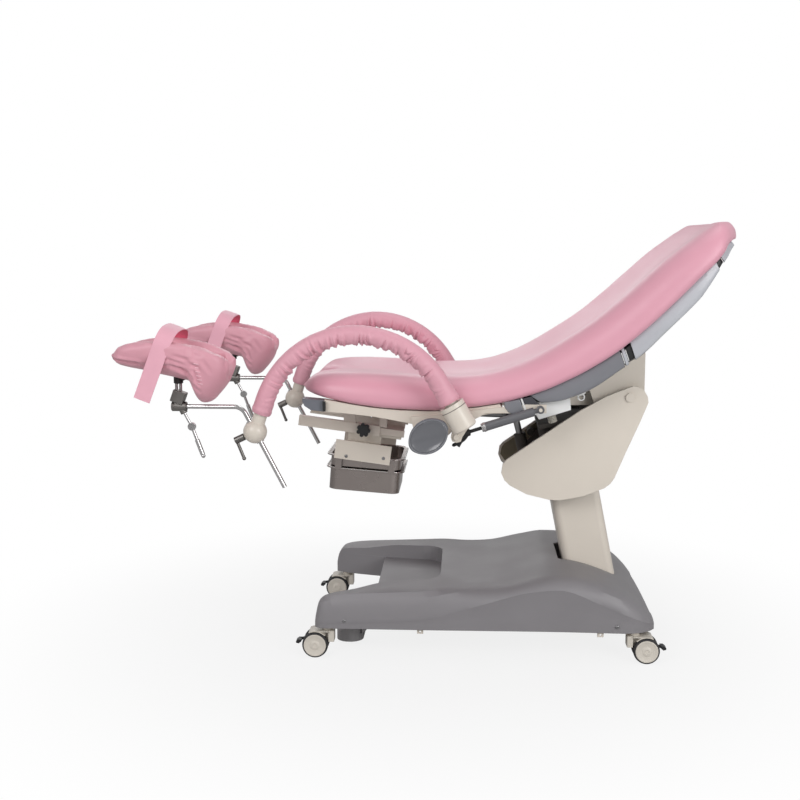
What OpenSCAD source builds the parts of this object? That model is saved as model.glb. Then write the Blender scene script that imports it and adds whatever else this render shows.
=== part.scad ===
// Electric obstetric table: casters and base, leaning lift column, tilting top with a one-piece
// pad, two arched leg arms with padded leg rests, and a slide-out basin.
// X runs from the foot end to the head end, Y to the patient's right, Z up from the floor.

/* [Base] */
// Half width of the base cover
base_half_w = 322; // [310:1:335]
// Height of the cover's lower edge above the floor
base_edge_z = 91; // [88:1:96]
// Wall thickness of the moulded base cover
cover_wall = 4; // [3:0.5:5]
// Height of the footwell floor
footwell_z = 158; // [152:1:164]
// Front lip of the footwell floor
footwell_lip_x = -170; // [-185:1:-155]
// Rear end of the footwell
footwell_rear_x = 22; // [0:1:40]
// Distance between the mounting tabs along the base
tab_pitch = 514; // [500:1:520]
// Hole in each mounting tab
tab_hole_d = 6; // [4:0.5:7]

/* [Casters] */
// Wheel diameter
wheel_d = 75; // [75:1:76]
// Width of each of a caster's two wheels
wheel_w = 21; // [18:1:22]
// Distance of the wheel axle behind the swivel axis
caster_trail = 33; // [30:1:34]
// Caster stem diameter
stem_d = 11; // [10:1:12]
// Caster place across the base
caster_y = 286; // [280:1:288]
// Front caster swivel axis
caster_front_x = -304; // [-308:1:-300]
// Rear caster swivel axis
caster_rear_x = 579; // [570:1:585]

/* [Lift column] */
// Lean of the column towards the foot end
lean = 11.5; // [10:0.1:13]
// Column width along the table
column_w = 145; // [140:1:150]
// Column depth across the table
column_d = 190; // [180:1:196]
// Wall of the outer column
column_wall = 4; // [3:0.5:5]
// Length of the outer column
column_outer_l = 408; // [400:1:412]
// Diameter of the lift screw
screw_d = 24; // [20:1:28]

/* [Top frame] */
// Rail centre across the table
rail_y = 280; // [275:1:284]
// Rail width
rail_w = 30; // [26:1:32]
// Tilt pin diameter
tilt_pin_d = 20; // [18:1:24]
// Outer face of the side plates
plate_y = 165; // [160:1:168]
// Thickness of the side plates
plate_t = 12; // [8:1:14]
// Half width of the back shell
back_half_w = 292; // [285:1:294]

/* [Pad] */
// Largest half width of the pad
pad_half_w = 314; // [306:1:316]
// Depth of the lengthwise hollow in the pad, as a share of its thickness
pad_hollow = 0.24; // [0.1:0.01:0.3]
// Depth of the notch in the seat's front edge
notch_depth = 70; // [40:1:90]
// Half width of that notch
notch_half_w = 120; // [90:1:140]

/* [Leg arms] */
// Leg arm plane across the table
leg_y = 370; // [368:1:376]
// Radius of the arch, on its centre line
arch_r = 265; // [260:1:268]
// Diameter of the arm tube
arm_d = 38; // [34:1:38]
// Diameter of the gathered sleeve
sleeve_d = 52; // [48:1:54]
// Diameter of the root socket
socket_d = 71; // [68:1:72]
// Diameter of the ball clamp
ball_d = 66; // [62:1:68]
// Diameter of the leg rest rod
rod_d = 13; // [12:0.5:14]
// Diameter of the bush in the ball clamp
bush_d = 22; // [20:1:24]
// Diameter of the gas spring's cylinder
gas_d = 25; // [22:1:25]
// Clearance of every running fit, on the radius
fit = 0.05; // [0.02:0.01:0.1]

/* [Leg rests] */
// Half width of the padded gutter
gutter_half_w = 86; // [78:1:90]
// Thickness of the gutter's padding
gutter_t = 26; // [20:1:30]
// Width of the strap
strap_w = 46; // [40:1:50]

/* [Basin] */
// Length of the pans at the rim
pan_l = 236; // [225:1:240]
// Width of the pans at the rim
pan_w = 260; // [250:1:266]
// Width of the rolled rim
pan_rim = 12; // [9:1:14]
// Depth of the lower basin
basin_depth = 68; // [60:1:72]
// Angle of the pans and the seat rail
seat_pitch = 4.4; // [4:0.1:5]

/* [Hidden] */
$fn = 64;

cream = [0.86, 0.83, 0.79];
shell_grey = [0.55, 0.55, 0.57];
frame_grey = [0.50, 0.51, 0.54];
vinyl_pink = [0.91, 0.67, 0.74];
sleeve_pink = [0.95, 0.73, 0.79];
dark = [0.16, 0.16, 0.17];
steel = [0.75, 0.76, 0.78];

// Joint points, as [x, z] in the table's middle plane
column_foot = [489.5, 120];
tilt_axis = [568, 747];
back_axis = [212, 735];
leg_axis = [88, 705];
gas_front = [68, 655];
gas_rear = [300, 730];
tilt_low = [290, 490];
tilt_high = [235, 705];
back_low = [-30, 672];
back_high = [222, 663];
back_line_y = 55;
arch_centre = [-209, 675];
arch_from = 31;
arch_to = 161.5;
socket_angle = 59.6;
socket_top = [53.5, 749.5];
socket_l = 77;
ball_at = [-490, 670];
rod_angle = 117.4;
rod_bend_r = 35;
rod_level_z = 739;
block_x = -702;
lever_angle = 205.4;
screw_from = [-695.4, 735.6];
screw_angle = -62;
rail_start = [-402, 669];
rail_pitch = 7.5;
pan_at = [-207, 518];
deck_gap = 38;

// Helpers

function mix(a, b, t) = a + (b - a) * t;

// A prism across the table between y0 and y1 from an outline in [x, z]
module across(y0, y1) {
    translate([0, y1, 0]) rotate([90, 0, 0]) linear_extrude(y1 - y0) children();
}

// Both sides of the table
module both() {
    children();
    mirror([0, 1, 0]) children();
}

// Moves to a point [x, z] in the plane y
module at(p, y = 0) {
    translate([p[0], y, p[1]]) children();
}

// A cylinder across the table about the point p
module crossbar(p, d, y0, y1, turn = 0) {
    at(p, y1) rotate([90, turn, 0]) cylinder(d = d, h = y1 - y0);
}

// A cylinder in a plane y = const from p, at an angle above +X
module strut(p, y, angle, d, l) {
    at(p, y) rotate([0, 90 - angle, 0]) cylinder(d = d, h = l);
}

module rounded(w, d, r) {
    square([w - 2 * r, d], center = true);
    square([w, d - 2 * r], center = true);
    for (x = [-1, 1], y = [-1, 1])
        translate([x * (w / 2 - r), y * (d / 2 - r)]) circle(r);
}

// A skin over equal rings of points. Each ring is a lower chain from -Y to +Y and an upper chain
// of as many points back, so that each end closes with a strip between the two chains
module loft(rings) {
    n = len(rings[0]);
    top = (len(rings) - 1) * n;
    skin = [for (i = [0:len(rings) - 2], j = [0:n - 1]) let(a = i * n + j, b = i * n + (j + 1) % n)
        each [[a, a + n, b], [b, a + n, b + n]]];
    ends = [for (j = [0:n / 2 - 2]) let(k = n - 1 - j)
        each [[j, j + 1, k - 1], [j, k - 1, k],
            [top + j, top + k - 1, top + j + 1], [top + j, top + k, top + k - 1]]];
    polyhedron([for (ring = rings) each ring], concat(skin, ends));
}

// Both chains of a ring from the points of their +Y halves, ordered from the side to the middle
function ring_of(lower, upper) = let(k = len(lower) - 1, flip = function(p) [p[0], -p[1], p[2]])
    concat([for (p = lower) flip(p)], [for (i = [k:-1:0]) lower[i]],
        [for (p = upper) p], [for (i = [k:-1:0]) flip(upper[i])]);

// Base

top_line = [[-337, 126], [-330, 150], [-318, 170], [-300, 184], [-190, 198], [-22, 204],
    [178, 212], [278, 231], [397, 250], [488, 256], [555, 249], [589, 234], [622, 172], [637, 128]];
crease_line = [[-337, 104], [-33, 120], [138, 166], [279, 206], [363, 214], [476, 175],
    [589, 127], [637, 106]];
plan_line = [[-337, 26], [-330, 13], [-315, 4], [-295, 0], [540, 0], [590, 10], [620, 30], [637, 52]];
base_stations = [-337, -330, -318, -300, -250, -190, -110, -22, 60, 138, 178, 230, 279, 340,
    397, 440, 488, 530, 555, 580, 606, 622, 637];

function base_ring(x, inset) = let(
    top = lookup(x, top_line) - inset,
    crease = min(lookup(x, crease_line), top - 12),
    half = base_half_w - lookup(x, plan_line) - inset,
    low = base_edge_z - (inset > 0 ? 5 : 0),
    end = x + (abs(x - 150) > 480 ? (x < 0 ? inset : -inset) : 0))
    ring_of([[end, half - 0.06 * (crease - low), low], [end, 0.9 * half, low],
            [end, 0.6 * half, low], [end, 0.25 * half, low]],
        [[end, half, crease], [end, half - 8, mix(crease, top, 0.40)],
            [end, half - 30, mix(crease, top, 0.76)], [end, 0.6 * half, top - 3]]);

module footwell(grow) {
    plan = [[-420, 318], [-322, 268], [-300, 256], [-256, 241], [-169, 217], [-38, 195]];
    module outline() {
        polygon(concat([for (p = plan) [p[0], p[1] + grow]],
            [for (i = [5:-1:0]) [plan[i][0], -plan[i][1] - grow]]));
        translate([-60, -135]) square([footwell_rear_x + 60 + grow, 270]);
        for (y = [-135, 135]) translate([footwell_rear_x - 60, y]) circle(60 + grow);
    }
    translate([0, 0, footwell_z - grow]) linear_extrude(200) outline();
    linear_extrude(300) intersection() {
        outline();
        translate([-500, -400]) square([500 + footwell_lip_x + grow, 800]);
    }
}

module base_cover() {
    color(shell_grey) difference() {
        loft([for (x = base_stations) base_ring(x, 0)]);
        difference() {
            loft([for (x = base_stations) base_ring(x, cover_wall)]);
            footwell(cover_wall);
        }
        footwell(0);
        translate([375, -102, 150]) cube([172, 204, 200]);
    }
}

module base_frame() {
    boss_d = 34;
    color(cream) difference() {
        union() {
            both() {
                translate([caster_front_x, 266, 100])
                    cube([caster_rear_x - caster_front_x, 38, 34]);
                for (x = [caster_front_x, caster_rear_x])
                    translate([x, caster_y, 86.3]) cylinder(d = boss_d, h = 50);
                for (x = [-33, -33 + tab_pitch])
                    translate([x - 9, 304, 76]) cube([18, 3, 40]);
                translate([-150, 55, 100]) cube([735, 30, 25]);
            }
            for (x = [-150, 320, 560]) translate([x, -267, 100]) cube([36, 534, 30]);
            at(column_foot) rotate([0, -lean, 0]) translate([-95, -112, -12]) cube([190, 224, 12]);
            both() across(96, 104) polygon([[385, 105], [392, 90], [590, 90], [598, 135], [405, 100]]);
        }
        both() {
            for (x = [caster_front_x, caster_rear_x])
                translate([x, caster_y, 60]) cylinder(d = stem_d + 2 * fit, h = 100);
            for (x = [-33, -33 + tab_pitch])
                crossbar([x, 82], tab_hole_d, 300, 312);
        }
        at(column_foot) rotate([0, -lean, 0]) translate([-73, -96, 0]) cube([146, 192, 60]);
    }
}

// The closed housing under the left front of the base, with its sloping rear plate
module lower_housing() {
    color(shell_grey) {
        translate([-249, -130, 10]) linear_extrude(81) rounded(80, 140, 38);
        across(-190, -70) polygon([[-212, 30], [-174, 70], [-160, base_edge_z], [-212, base_edge_z]]);
    }
}

module column_outer() {
    color(cream) at(column_foot) rotate([0, -lean, 0]) linear_extrude(column_outer_l)
        difference() {
            rounded(column_w, column_d, 22);
            rounded(column_w - 2 * column_wall, column_d - 2 * column_wall, 18);
        }
}

module lift_screw() {
    color(steel) at(column_foot) rotate([0, -lean, 0]) {
        cylinder(d = 76, h = 42);
        cylinder(d = screw_d, h = 390);
    }
}

// Casters: the swivel axis is the local Z axis, and the wheel trails towards -X

module caster_place(side, rear) {
    translate([rear ? caster_rear_x : caster_front_x, side * caster_y, 0])
        rotate([0, 0, rear ? 180 : 0]) children();
}

module fork() {
    hub = [-caster_trail, wheel_d / 2];
    color(cream) difference() {
        union() {
            translate([0, 0, 84]) cylinder(d = stem_d, h = 46);
            translate([0, 0, 77.5]) cylinder(d = 30, h = 8.5);
            translate([5.5, -19, 46]) cube([16, 38, 33]);
            across(-5, 5) {
                polygon([[-44, 38], [-44, 62], [-22, 79], [8, 79], [8, 50], [-24, 28]]);
                translate(hub) circle(12);
            }
            across(-28, 28) intersection() {
                difference() {
                    translate(hub) circle(42);
                    translate(hub) circle(39.5);
                }
                translate(hub) polygon([[0, 0], [-24, 50], [30, 50], [36, 36]]);
            }
            translate([-30, -28, 76.8]) cube([36, 56, 2.6]);
        }
        crossbar(hub, 8 + 2 * fit, -40, 40);
        crossbar([-caster_trail - 7, wheel_d / 2 + 16], 5 + 2 * fit, -40, 40);
    }
}

module wheel() {
    hub = [-caster_trail, wheel_d / 2];
    r = wheel_d / 2;
    color(dark) {
        crossbar(hub, 8, -20, 20);
        both() at(hub, 8) rotate([-90, 0, 0]) rotate_extrude()
            polygon([[0, 0], [r - 4, 0], [r - 1, 2], [r, 6], [r, wheel_w - 6], [r - 1, wheel_w - 2],
                [r - 4, wheel_w], [r - 6, wheel_w], [r - 6, wheel_w - 2], [0, wheel_w - 2]]);
    }
}

module pedal() {
    pin = [-caster_trail - 7, wheel_d / 2 + 16];
    color(dark) {
        crossbar(pin, 5, -5, 7.5);
        across(5.3, 7.5) polygon([[-36, 48], [-36, 59], [-46, 57], [-82, 49], [-82, 41], [-50, 47]]);
        across(-13, 13) polygon([[-74.5, 43], [-74.5, 49], [-84, 49], [-90, 44], [-90, 39], [-82, 37]]);
    }
}

module front_left_fork() caster_place(-1, false) fork();
module front_left_wheel() caster_place(-1, false) wheel();
module front_left_pedal() caster_place(-1, false) pedal();
module front_right_fork() caster_place(1, false) fork();
module front_right_wheel() caster_place(1, false) wheel();
module front_right_pedal() caster_place(1, false) pedal();
module rear_left_fork() caster_place(-1, true) fork();
module rear_left_wheel() caster_place(-1, true) wheel();
module rear_left_pedal() caster_place(-1, true) pedal();
module rear_right_fork() caster_place(1, true) fork();
module rear_right_wheel() caster_place(1, true) wheel();
module rear_right_pedal() caster_place(1, true) pedal();

// Lift

// Inner column with its nut plate, head plate and the two cheeks that hold the tilt pin
module lift_carriage() {
    glide = 0.2;
    inner_w = column_w - 2 * column_wall - 2 * glide;
    inner_d = column_d - 2 * column_wall - 2 * glide;
    from = 182;
    to = 548;
    color(dark) difference() {
        union() {
            at(column_foot) rotate([0, -lean, 0]) {
                translate([0, 0, from]) linear_extrude(to - from) difference() {
                    rounded(inner_w, inner_d, 17.8);
                    rounded(inner_w - 10, inner_d - 10, 12.8);
                }
                translate([0, 0, from + 4]) linear_extrude(24) rounded(inner_w - 9, inner_d - 9, 13);
                translate([-70, -112, to]) cube([140, 224, 12]);
            }
            both() across(104, 112)
                polygon([[268, 486], [276, 560], [330, 622], [440, 700], [556, 772], [590, 762],
                    [598, 738], [572, 655], [520, 540], [490, 500], [400, 468], [300, 466]]);
            both() for (p = [[300, 600], [520, 620], [420, 490]]) crossbar(p, 24, 110, plate_y - plate_t);
            crossbar([545, 590], 26, -105, 105);
            crossbar(tilt_low, 14, -105, 105);
        }
        crossbar(tilt_axis, tilt_pin_d + 0.04, -200, 200);
        at(column_foot) rotate([0, -lean, 0]) cylinder(d = screw_d + 2 * fit, h = 520);
    }
}

module side_plates() {
    outline = [[199, 520], [203, 547], [214, 560], [311, 628], [426, 707], [500, 749], [577, 780],
        [596, 776], [609, 766], [619, 748], [621, 732], [600, 679], [559, 584], [528, 508], [517, 492],
        [501, 479], [440, 454], [373, 441], [340, 442], [273, 458], [225, 483], [208, 499]];
    color(cream) both() difference() {
        across(plate_y - plate_t, plate_y) polygon(outline);
        crossbar(tilt_axis, tilt_pin_d + 0.04, 100, 200);
    }
}

module tilt_pin() {
    color(cream) {
        crossbar(tilt_axis, tilt_pin_d, -plate_y, plate_y);
        both() crossbar(tilt_axis, 26, plate_y, plate_y + 6);
    }
}

// Tilting top

rail_low = [[-306, 717], [-235, 711], [-163, 703], [-107, 693], [-60, 684], [-30, 681], [21, 683],
    [80, 694], [133, 708], [200, 722]];
pad_low = [[-306, 751], [-233, 738], [-171, 729], [-92, 722], [-7, 720], [49, 723], [133, 733],
    [188, 742]];

module seat_frame() {
    tilt_lug = [[164, 712], [300, 712], [440, 714], [530, 718], [574, 700], [598, 700], [600, 748],
        [584, 776], [556, 776], [520, 752], [420, 742], [300, 731], [164, 731]];
    tilt_clevis = [[180, 718], [196, 706], [224, 695], [235, 692], [246, 697], [248, 708], [238, 717],
        [196, 727], [180, 727]];
    back_clevis = [[-54, 700], [-26, 700], [-16, 674], [-23, 660], [-37, 660], [-44, 674]];
    hinge_plate = [[-62, 705], [-46, 640], [20, 630], [60, 668], [78, 688], [112, 696], [150, 716],
        [318, 718], [318, 742], [260, 742], [112, 724], [40, 712]];
    color(cream) difference() {
        union() {
            both() {
                across(rail_y - rail_w / 2, rail_y + rail_w / 2)
                    polygon(concat(rail_low, [for (i = [7:-1:0]) pad_low[i]]));
                across(rail_y + rail_w / 2 - 0.1, rail_y + rail_w / 2 + 7) polygon(hinge_plate);
                crossbar([-9, 662], 36, rail_y + rail_w / 2 + 6, 371);
                crossbar(gas_rear, 10, rail_y + rail_w / 2 + 6, 333);
                across(80, 92) polygon(tilt_lug);
                crossbar(back_axis, 24, rail_y + rail_w / 2 - 0.1, rail_y + rail_w / 2 + 7);
                across(14, 22) polygon(tilt_clevis);
                across(118, 138) polygon([[-290, 724], [-290, 738], [-30, 706], [-30, 692]]);
                across(122, 138) polygon([[-268, 664], [-232, 658], [-232, 726], [-268, 726]]);
                across(122, 138) polygon([[-162, 650], [-140, 648], [-140, 714], [-162, 714]]);
            }
            for (x = [-290, -60, 160]) translate([x, -rail_y, lookup(x, rail_low) + 4])
                cube([36, 2 * rail_y, 20]);
            for (y = [back_line_y - 18.5, back_line_y + 12.5]) across(y, y + 6) polygon(back_clevis);
            crossbar(back_low, 14, back_line_y - 18, back_line_y + 18);
            crossbar(tilt_high, 12, -22, 22);
            translate([578, -92, 700]) cube([32, 184, 18]);
            translate([604, -126, 700]) cube([6, 252, 18]);
            both() basin_rail();
        }
        both() {
            crossbar(leg_axis, 16 + 2 * fit, 250, 320);
            crossbar(back_axis, 14 + 2 * fit, 200, 310);
        }
        crossbar(tilt_axis, tilt_pin_d + 2 * fit, -100, 100);
    }
}

// One channel of the basin slide, open towards the middle
module basin_rail() {
    at(rail_start) rotate([0, rail_pitch, 0]) difference() {
        translate([0, 120, -15]) cube([244, 20, 30]);
        translate([-1, 119, -10]) cube([246, 17, 20]);
        translate([196, 130, 0]) rotate([-90, 0, 0]) cylinder(d = 8 + 2 * fit, h = 20);
    }
}

// Pad: each station is [bottom x, bottom z, top x, top z, half width share, hollow share]
pad_stations = [
    [-373, 780, -370, 790, 0.70, 0.0], [-362, 771, -356, 805, 0.80, 0.2],
    [-335, 761, -328, 819, 0.89, 0.4], [-290, 751, -283, 824, 0.95, 0.5],
    [-220, 739, -215, 825, 0.985, 0.6], [-120, 728, -116, 821, 1.0, 0.7], [0, 723, 4, 815, 1.0, 0.8],
    [110, 733, 100, 815, 1.0, 0.9], [208.3, 748, 174, 833, 1.0, 1.0],
    [218.7, 752, 258, 862, 1.0, 1.0],
    [300, 777, 274, 871, 1.0, 1.0], [360, 803, 318, 891, 1.0, 1.0], [430, 838, 380, 925, 1.0, 1.0],
    [510, 889, 449, 971, 1.0, 1.0], [590, 956, 522, 1031, 1.0, 1.0], [669, 1031, 600, 1102, 0.995, 1.0],
    [732, 1095, 672, 1165, 0.985, 1.0], [774, 1136, 720, 1201, 0.965, 0.9],
    [798, 1163, 762, 1228, 0.93, 0.7], [815, 1188, 796, 1247, 0.85, 0.5],
    [836, 1201, 824, 1256, 0.73, 0.3], [855, 1208, 850, 1257, 0.54, 0.2],
    [870, 1214, 869, 1250, 0.32, 0.1], [876, 1224, 876, 1240, 0.16, 0]];
seat_end = 8;
back_start = 9;

// Half a cross-section from the side inwards, as [share of the half width, share of the height,
// share of the hollow]
pad_under = [[1.0, 0.42, 0], [0.99, 0.15, 0], [0.955, 0.015, 0], [0.7, 0, 0], [0.45, 0, 0],
    [0.22, 0, 0], [0.02, 0, 0]];
pad_over = [[0.985, 0.76, 0], [0.93, 0.94, 0], [0.82, 1.0, 0], [0.66, 0.98, 0.22],
    [0.45, 0.97, 0.62], [0.22, 0.97, 0.93], [0.02, 0.97, 1]];

function pad_point(s, p) = let(
    y = pad_half_w * s[4] * p[0],
    v = p[1] - p[2] * s[5] * pad_hollow,
    near = s[0] < 0 ? max(0, 1 - (s[0] + 373) / 190) : 0,
    cut = y < notch_half_w ? notch_depth * (1 + cos(180 * y / notch_half_w)) / 2 : 0)
    [mix(s[0], s[2], v) + cut * near, y, mix(s[1], s[3], v)];

function pad_ring(s) = ring_of([for (p = pad_under) pad_point(s, p)],
    [for (p = pad_over) pad_point(s, p)]);

function between(a, b, t) = [for (i = [0:5]) mix(a[i], b[i], t)];

module seat_pad() {
    color(vinyl_pink) loft([for (i = [0:seat_end]) pad_ring(pad_stations[i])]);
}

// The wedge of the one-piece pad that flexes over the back hinge
module pad_bend() {
    color(vinyl_pink) loft([for (t = [0.005, 0.5, 0.99])
        pad_ring(between(pad_stations[seat_end], pad_stations[back_start], t))]);
}

module back_pad() {
    color(vinyl_pink) loft([for (i = [back_start:len(pad_stations) - 1]) pad_ring(pad_stations[i])]);
}

module rear_shroud() {
    outline = [[452, 771], [470, 722], [600, 700], [614, 712], [614, 874], [560, 842], [505, 806]];
    color(cream) difference() {
        across(-130, 130) polygon(outline);
        across(-126, 126) polygon([[440, 780], [440, 650], [610, 650], [610, 900], [560, 900]]);
        crossbar(tilt_axis, tilt_pin_d + 2, -140, 140);
    }
}

// Dished oval covers over the leg hinges, and the rails' front end caps
module side_covers() {
    color(frame_grey) both() {
        at([-9, 662], 371) rotate([0, -35, 0]) rotate([-90, 0, 0]) oval_cover();
        across(rail_y - 27, rail_y + 18)
            polygon([[-306.5, 717], [-344, 721], [-362, 733], [-368, 745], [-368, 754], [-306.5, 749]]);
    }
}

module oval_cover() {
    difference() {
        oval(60, 46.5, 13);
        translate([0, 0, 9]) oval(53, 39.5, 10);
    }
}

// An oval plate with half axes a and b, as four tangent arcs
module oval(a, b, h) {
    small = 0.62 * b;
    offset_x = a - small;
    large = (offset_x * offset_x + b * b - small * small) / (2 * (b - small));
    tangent_x = offset_x * large / (large - small);
    linear_extrude(h) {
        for (s = [-1, 1]) translate([s * offset_x, 0]) circle(small);
        intersection() {
            translate([0, b - large]) circle(large);
            translate([0, large - b]) circle(large);
            square([2 * tangent_x, 2 * b], center = true);
        }
    }
}

// Back

// Underside of the back shell's edge, as [x, z]. Its top follows the pad's underside
shell_low = [[216, 724], [232, 711], [248, 709], [266, 717], [293, 744], [357, 751], [400, 765],
    [439, 782], [480, 808], [521, 838], [554, 861], [586, 886], [642, 942], [708, 1008], [739, 1042],
    [762, 1075], [788, 1112], [814, 1148], [832, 1172]];
shell_offset = [[220, -4], [246, 2], [288, 5], [340, 16], [746, 16], [824, 8]];
shell_width = [[627, 1], [693, 0.995], [724, 0.99], [746, 0.98], [776, 0.95], [804, 0.88], [824, 0.78]];
shell_at = [220, 232, 246, 262, 275, 288, 300, 330, 360, 395, 430, 470, 510, 550, 590, 630, 669, 701, 732,
    753, 774, 798, 815, 824];
// Half a cross-section of the shell, as [distance in from the edge, share of the height]
shell_under = [[0, 0.35], [7, 0], [46, 0.06], [60, 0.6]];
shell_over = [[0, 1], [7, 1], [46, 1], [60, 1]];

function pad_underside(x) = lookup(x, [for (s = pad_stations) [s[0], s[1]]]);

function shell_point(x, p) = let(low = x + lookup(x, shell_offset))
    [mix(low, x, p[1]), back_half_w * lookup(x, shell_width) - p[0],
        mix(lookup(low, shell_low), pad_underside(x) - 0.8, p[1])];

function shell_ring(x) = ring_of([for (p = shell_under) shell_point(x, p)],
    [for (p = shell_over) shell_point(x, p)]);

module back_frame() {
    color(frame_grey) {
        loft([for (x = shell_at) shell_ring(x)]);
        both() {
            crossbar(back_axis, 14, 236, 301.9);
            across(236, 262) polygon([[203, 732], [212, 722], [250, 716], [250, 744], [212, 748]]);
        }
        for (y = [back_line_y - 19, back_line_y + 13]) across(y, y + 6)
            polygon([[208, 664], [212, 652], [234, 652], [262, 742], [226, 741]]);
        crossbar(back_high, 10, back_line_y - 19, back_line_y + 19);
    }
}

module control_box() {
    color([0.93, 0.93, 0.93]) across(-258, -196)
        polygon([[291, 709], [300, 694], [390, 722], [386, 759.3], [357, 750], [296, 743.5]]);
}

// Basin

module pan(depth, wall) {
    inner_l = pan_l - 2 * pan_rim;
    inner_w = pan_w - 2 * pan_rim;
    difference() {
        union() {
            translate([0, 0, -3]) linear_extrude(3) rounded(pan_l, pan_w, 38);
            translate([0, 0, -depth]) linear_extrude(depth - 1) rounded(inner_l, inner_w, 28);
        }
        translate([0, 0, wall - depth]) linear_extrude(depth) rounded(inner_l - 2 * wall, inner_w - 2 * wall, 26);
    }
}

module carrier_pan() {
    color(steel) at(pan_at) rotate([0, seat_pitch, 0]) translate([0, 0, deck_gap]) {
        pan(34, 1.5);
        both() for (x = [-80, 80]) {
            translate([x - 10, pan_w / 2 - 4, -3]) cube([20, 5.8, 1.5]);
            translate([x - 10, pan_w / 2 + 0.3, -deck_gap - 4.6]) cube([20, 1.5, deck_gap + 3]);
            translate([x - 10, pan_w / 2 - 8, -deck_gap - 4.6]) cube([20, 9.8, 1.5]);
        }
    }
}

module basin() {
    color(steel) at(pan_at) rotate([0, seat_pitch, 0]) pan(basin_depth, 1.5);
}

module basin_slider() {
    color(cream) both() {
        at(rail_start) rotate([0, rail_pitch, 0]) {
            difference() {
                union() {
                    translate([30, 121, -9.7]) cube([286, 14.7, 19.4]);
                    translate([150, 119, -9.7]) cube([100, 3, 19.4]);
                    translate([150, 112, -44]) cube([100, 7.5, 53.7]);
                    translate([150, 112, -44]) cube([100, 28, 3]);
                    translate([118, 137, -98]) cube([167, 3, 57]);
                }
                translate([196, 100, 0]) rotate([-90, 0, 0]) cylinder(d = 6, h = 60);
            }
            translate([250, -1, -20]) cube([58, 120.5, 3]);
            translate([250, 116, -20]) cube([58, 3.5, 29.7]);
            translate([250, 119, -9.7]) cube([58, 3, 19.4]);
        }
        at(pan_at) rotate([0, seat_pitch, 0]) translate([-45, pan_w / 2 - 11.8, deck_gap - 6])
            cube([90, 20, 3]);
    }
}

module star_knob() {
    color(dark) at(rail_start, -140) rotate([0, rail_pitch, 0]) translate([196, 0, 0])
        rotate([90, 0, 0]) {
            translate([0, 0, -4]) cylinder(d = 8, h = 14);
            translate([0, 0, 8]) cylinder(d = 30, h = 16);
            for (i = [0:6]) rotate(i * 360 / 7) translate([15, 0, 9]) cylinder(d = 12, h = 14);
        }
}

// Actuators: a motor with a tube at the lower pivot, and a rod with an eye at the upper one

function angle_of(a, b) = atan2(b[1] - a[1], b[0] - a[0]);
function span(a, b) = norm(b - a);

module motor(low, high, y, tube_d, pin_d, tube_l) {
    difference() {
        union() {
            crossbar(low, 26, y - 12, y + 12);
            at(low, y) rotate([0, 90 - angle_of(low, high), 0]) {
                translate([0, 0, 8]) cylinder(d = 20, h = 10);
                translate([0, 0, 15]) cylinder(d = tube_d, h = tube_l - 15);
                translate([-16, 20, 18]) cube([32, 34, 60]);
                translate([-14, 10, 22]) cube([28, 12, 50]);
            }
        }
        crossbar(low, pin_d + 2 * fit, y - 20, y + 20);
        at(low, y) rotate([0, 90 - angle_of(low, high), 0]) translate([0, 0, 16])
            cylinder(d = 20 + 2 * fit, h = tube_l);
    }
}

module actuator_rod(low, high, y, from, eye_d) {
    difference() {
        union() {
            at(low, y) rotate([0, 90 - angle_of(low, high), 0]) translate([0, 0, from])
                cylinder(d = 20, h = span(low, high) - from);
            crossbar(high, 28, y - 12, y + 12);
        }
        crossbar(high, eye_d, y - 20, y + 20);
    }
}

module tilt_motor() {
    color(dark) motor(tilt_low, tilt_high, 0, 36, 14, 128);
}

module tilt_rod() {
    color(steel) actuator_rod(tilt_low, tilt_high, 0, 44, 18);
}

module back_motor() {
    color(dark) motor(back_low, back_high, back_line_y, 30, 14, 160);
}

module back_rod() {
    color(steel) actuator_rod(back_low, back_high, back_line_y, 40, 18);
}

// Leg arms: everything is drawn on the left and mirrored for the right

module left_side() {
    mirror([0, 1, 0]) children();
}

// The arch's bend between its two straight ends, a hair thinner than they are
module arch_bar(d) {
    straight = [cos(arch_from), sin(arch_from)] * arch_r + arch_centre;
    neck = [cos(arch_to), sin(arch_to)] * arch_r + arch_centre;
    at(arch_centre, leg_y) rotate([90, 0, 0]) rotate([0, 0, arch_from])
        rotate_extrude(angle = arch_to - arch_from) translate([arch_r, 0]) circle(d = d - 0.1);
    strut(socket_top, leg_y, angle_of(socket_top, straight), d, span(socket_top, straight) + 0.5);
    at(neck, leg_y) rotate([0, 90 - angle_of(neck, ball_at), 0]) translate([0, 0, -0.5]) children();
}

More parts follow.
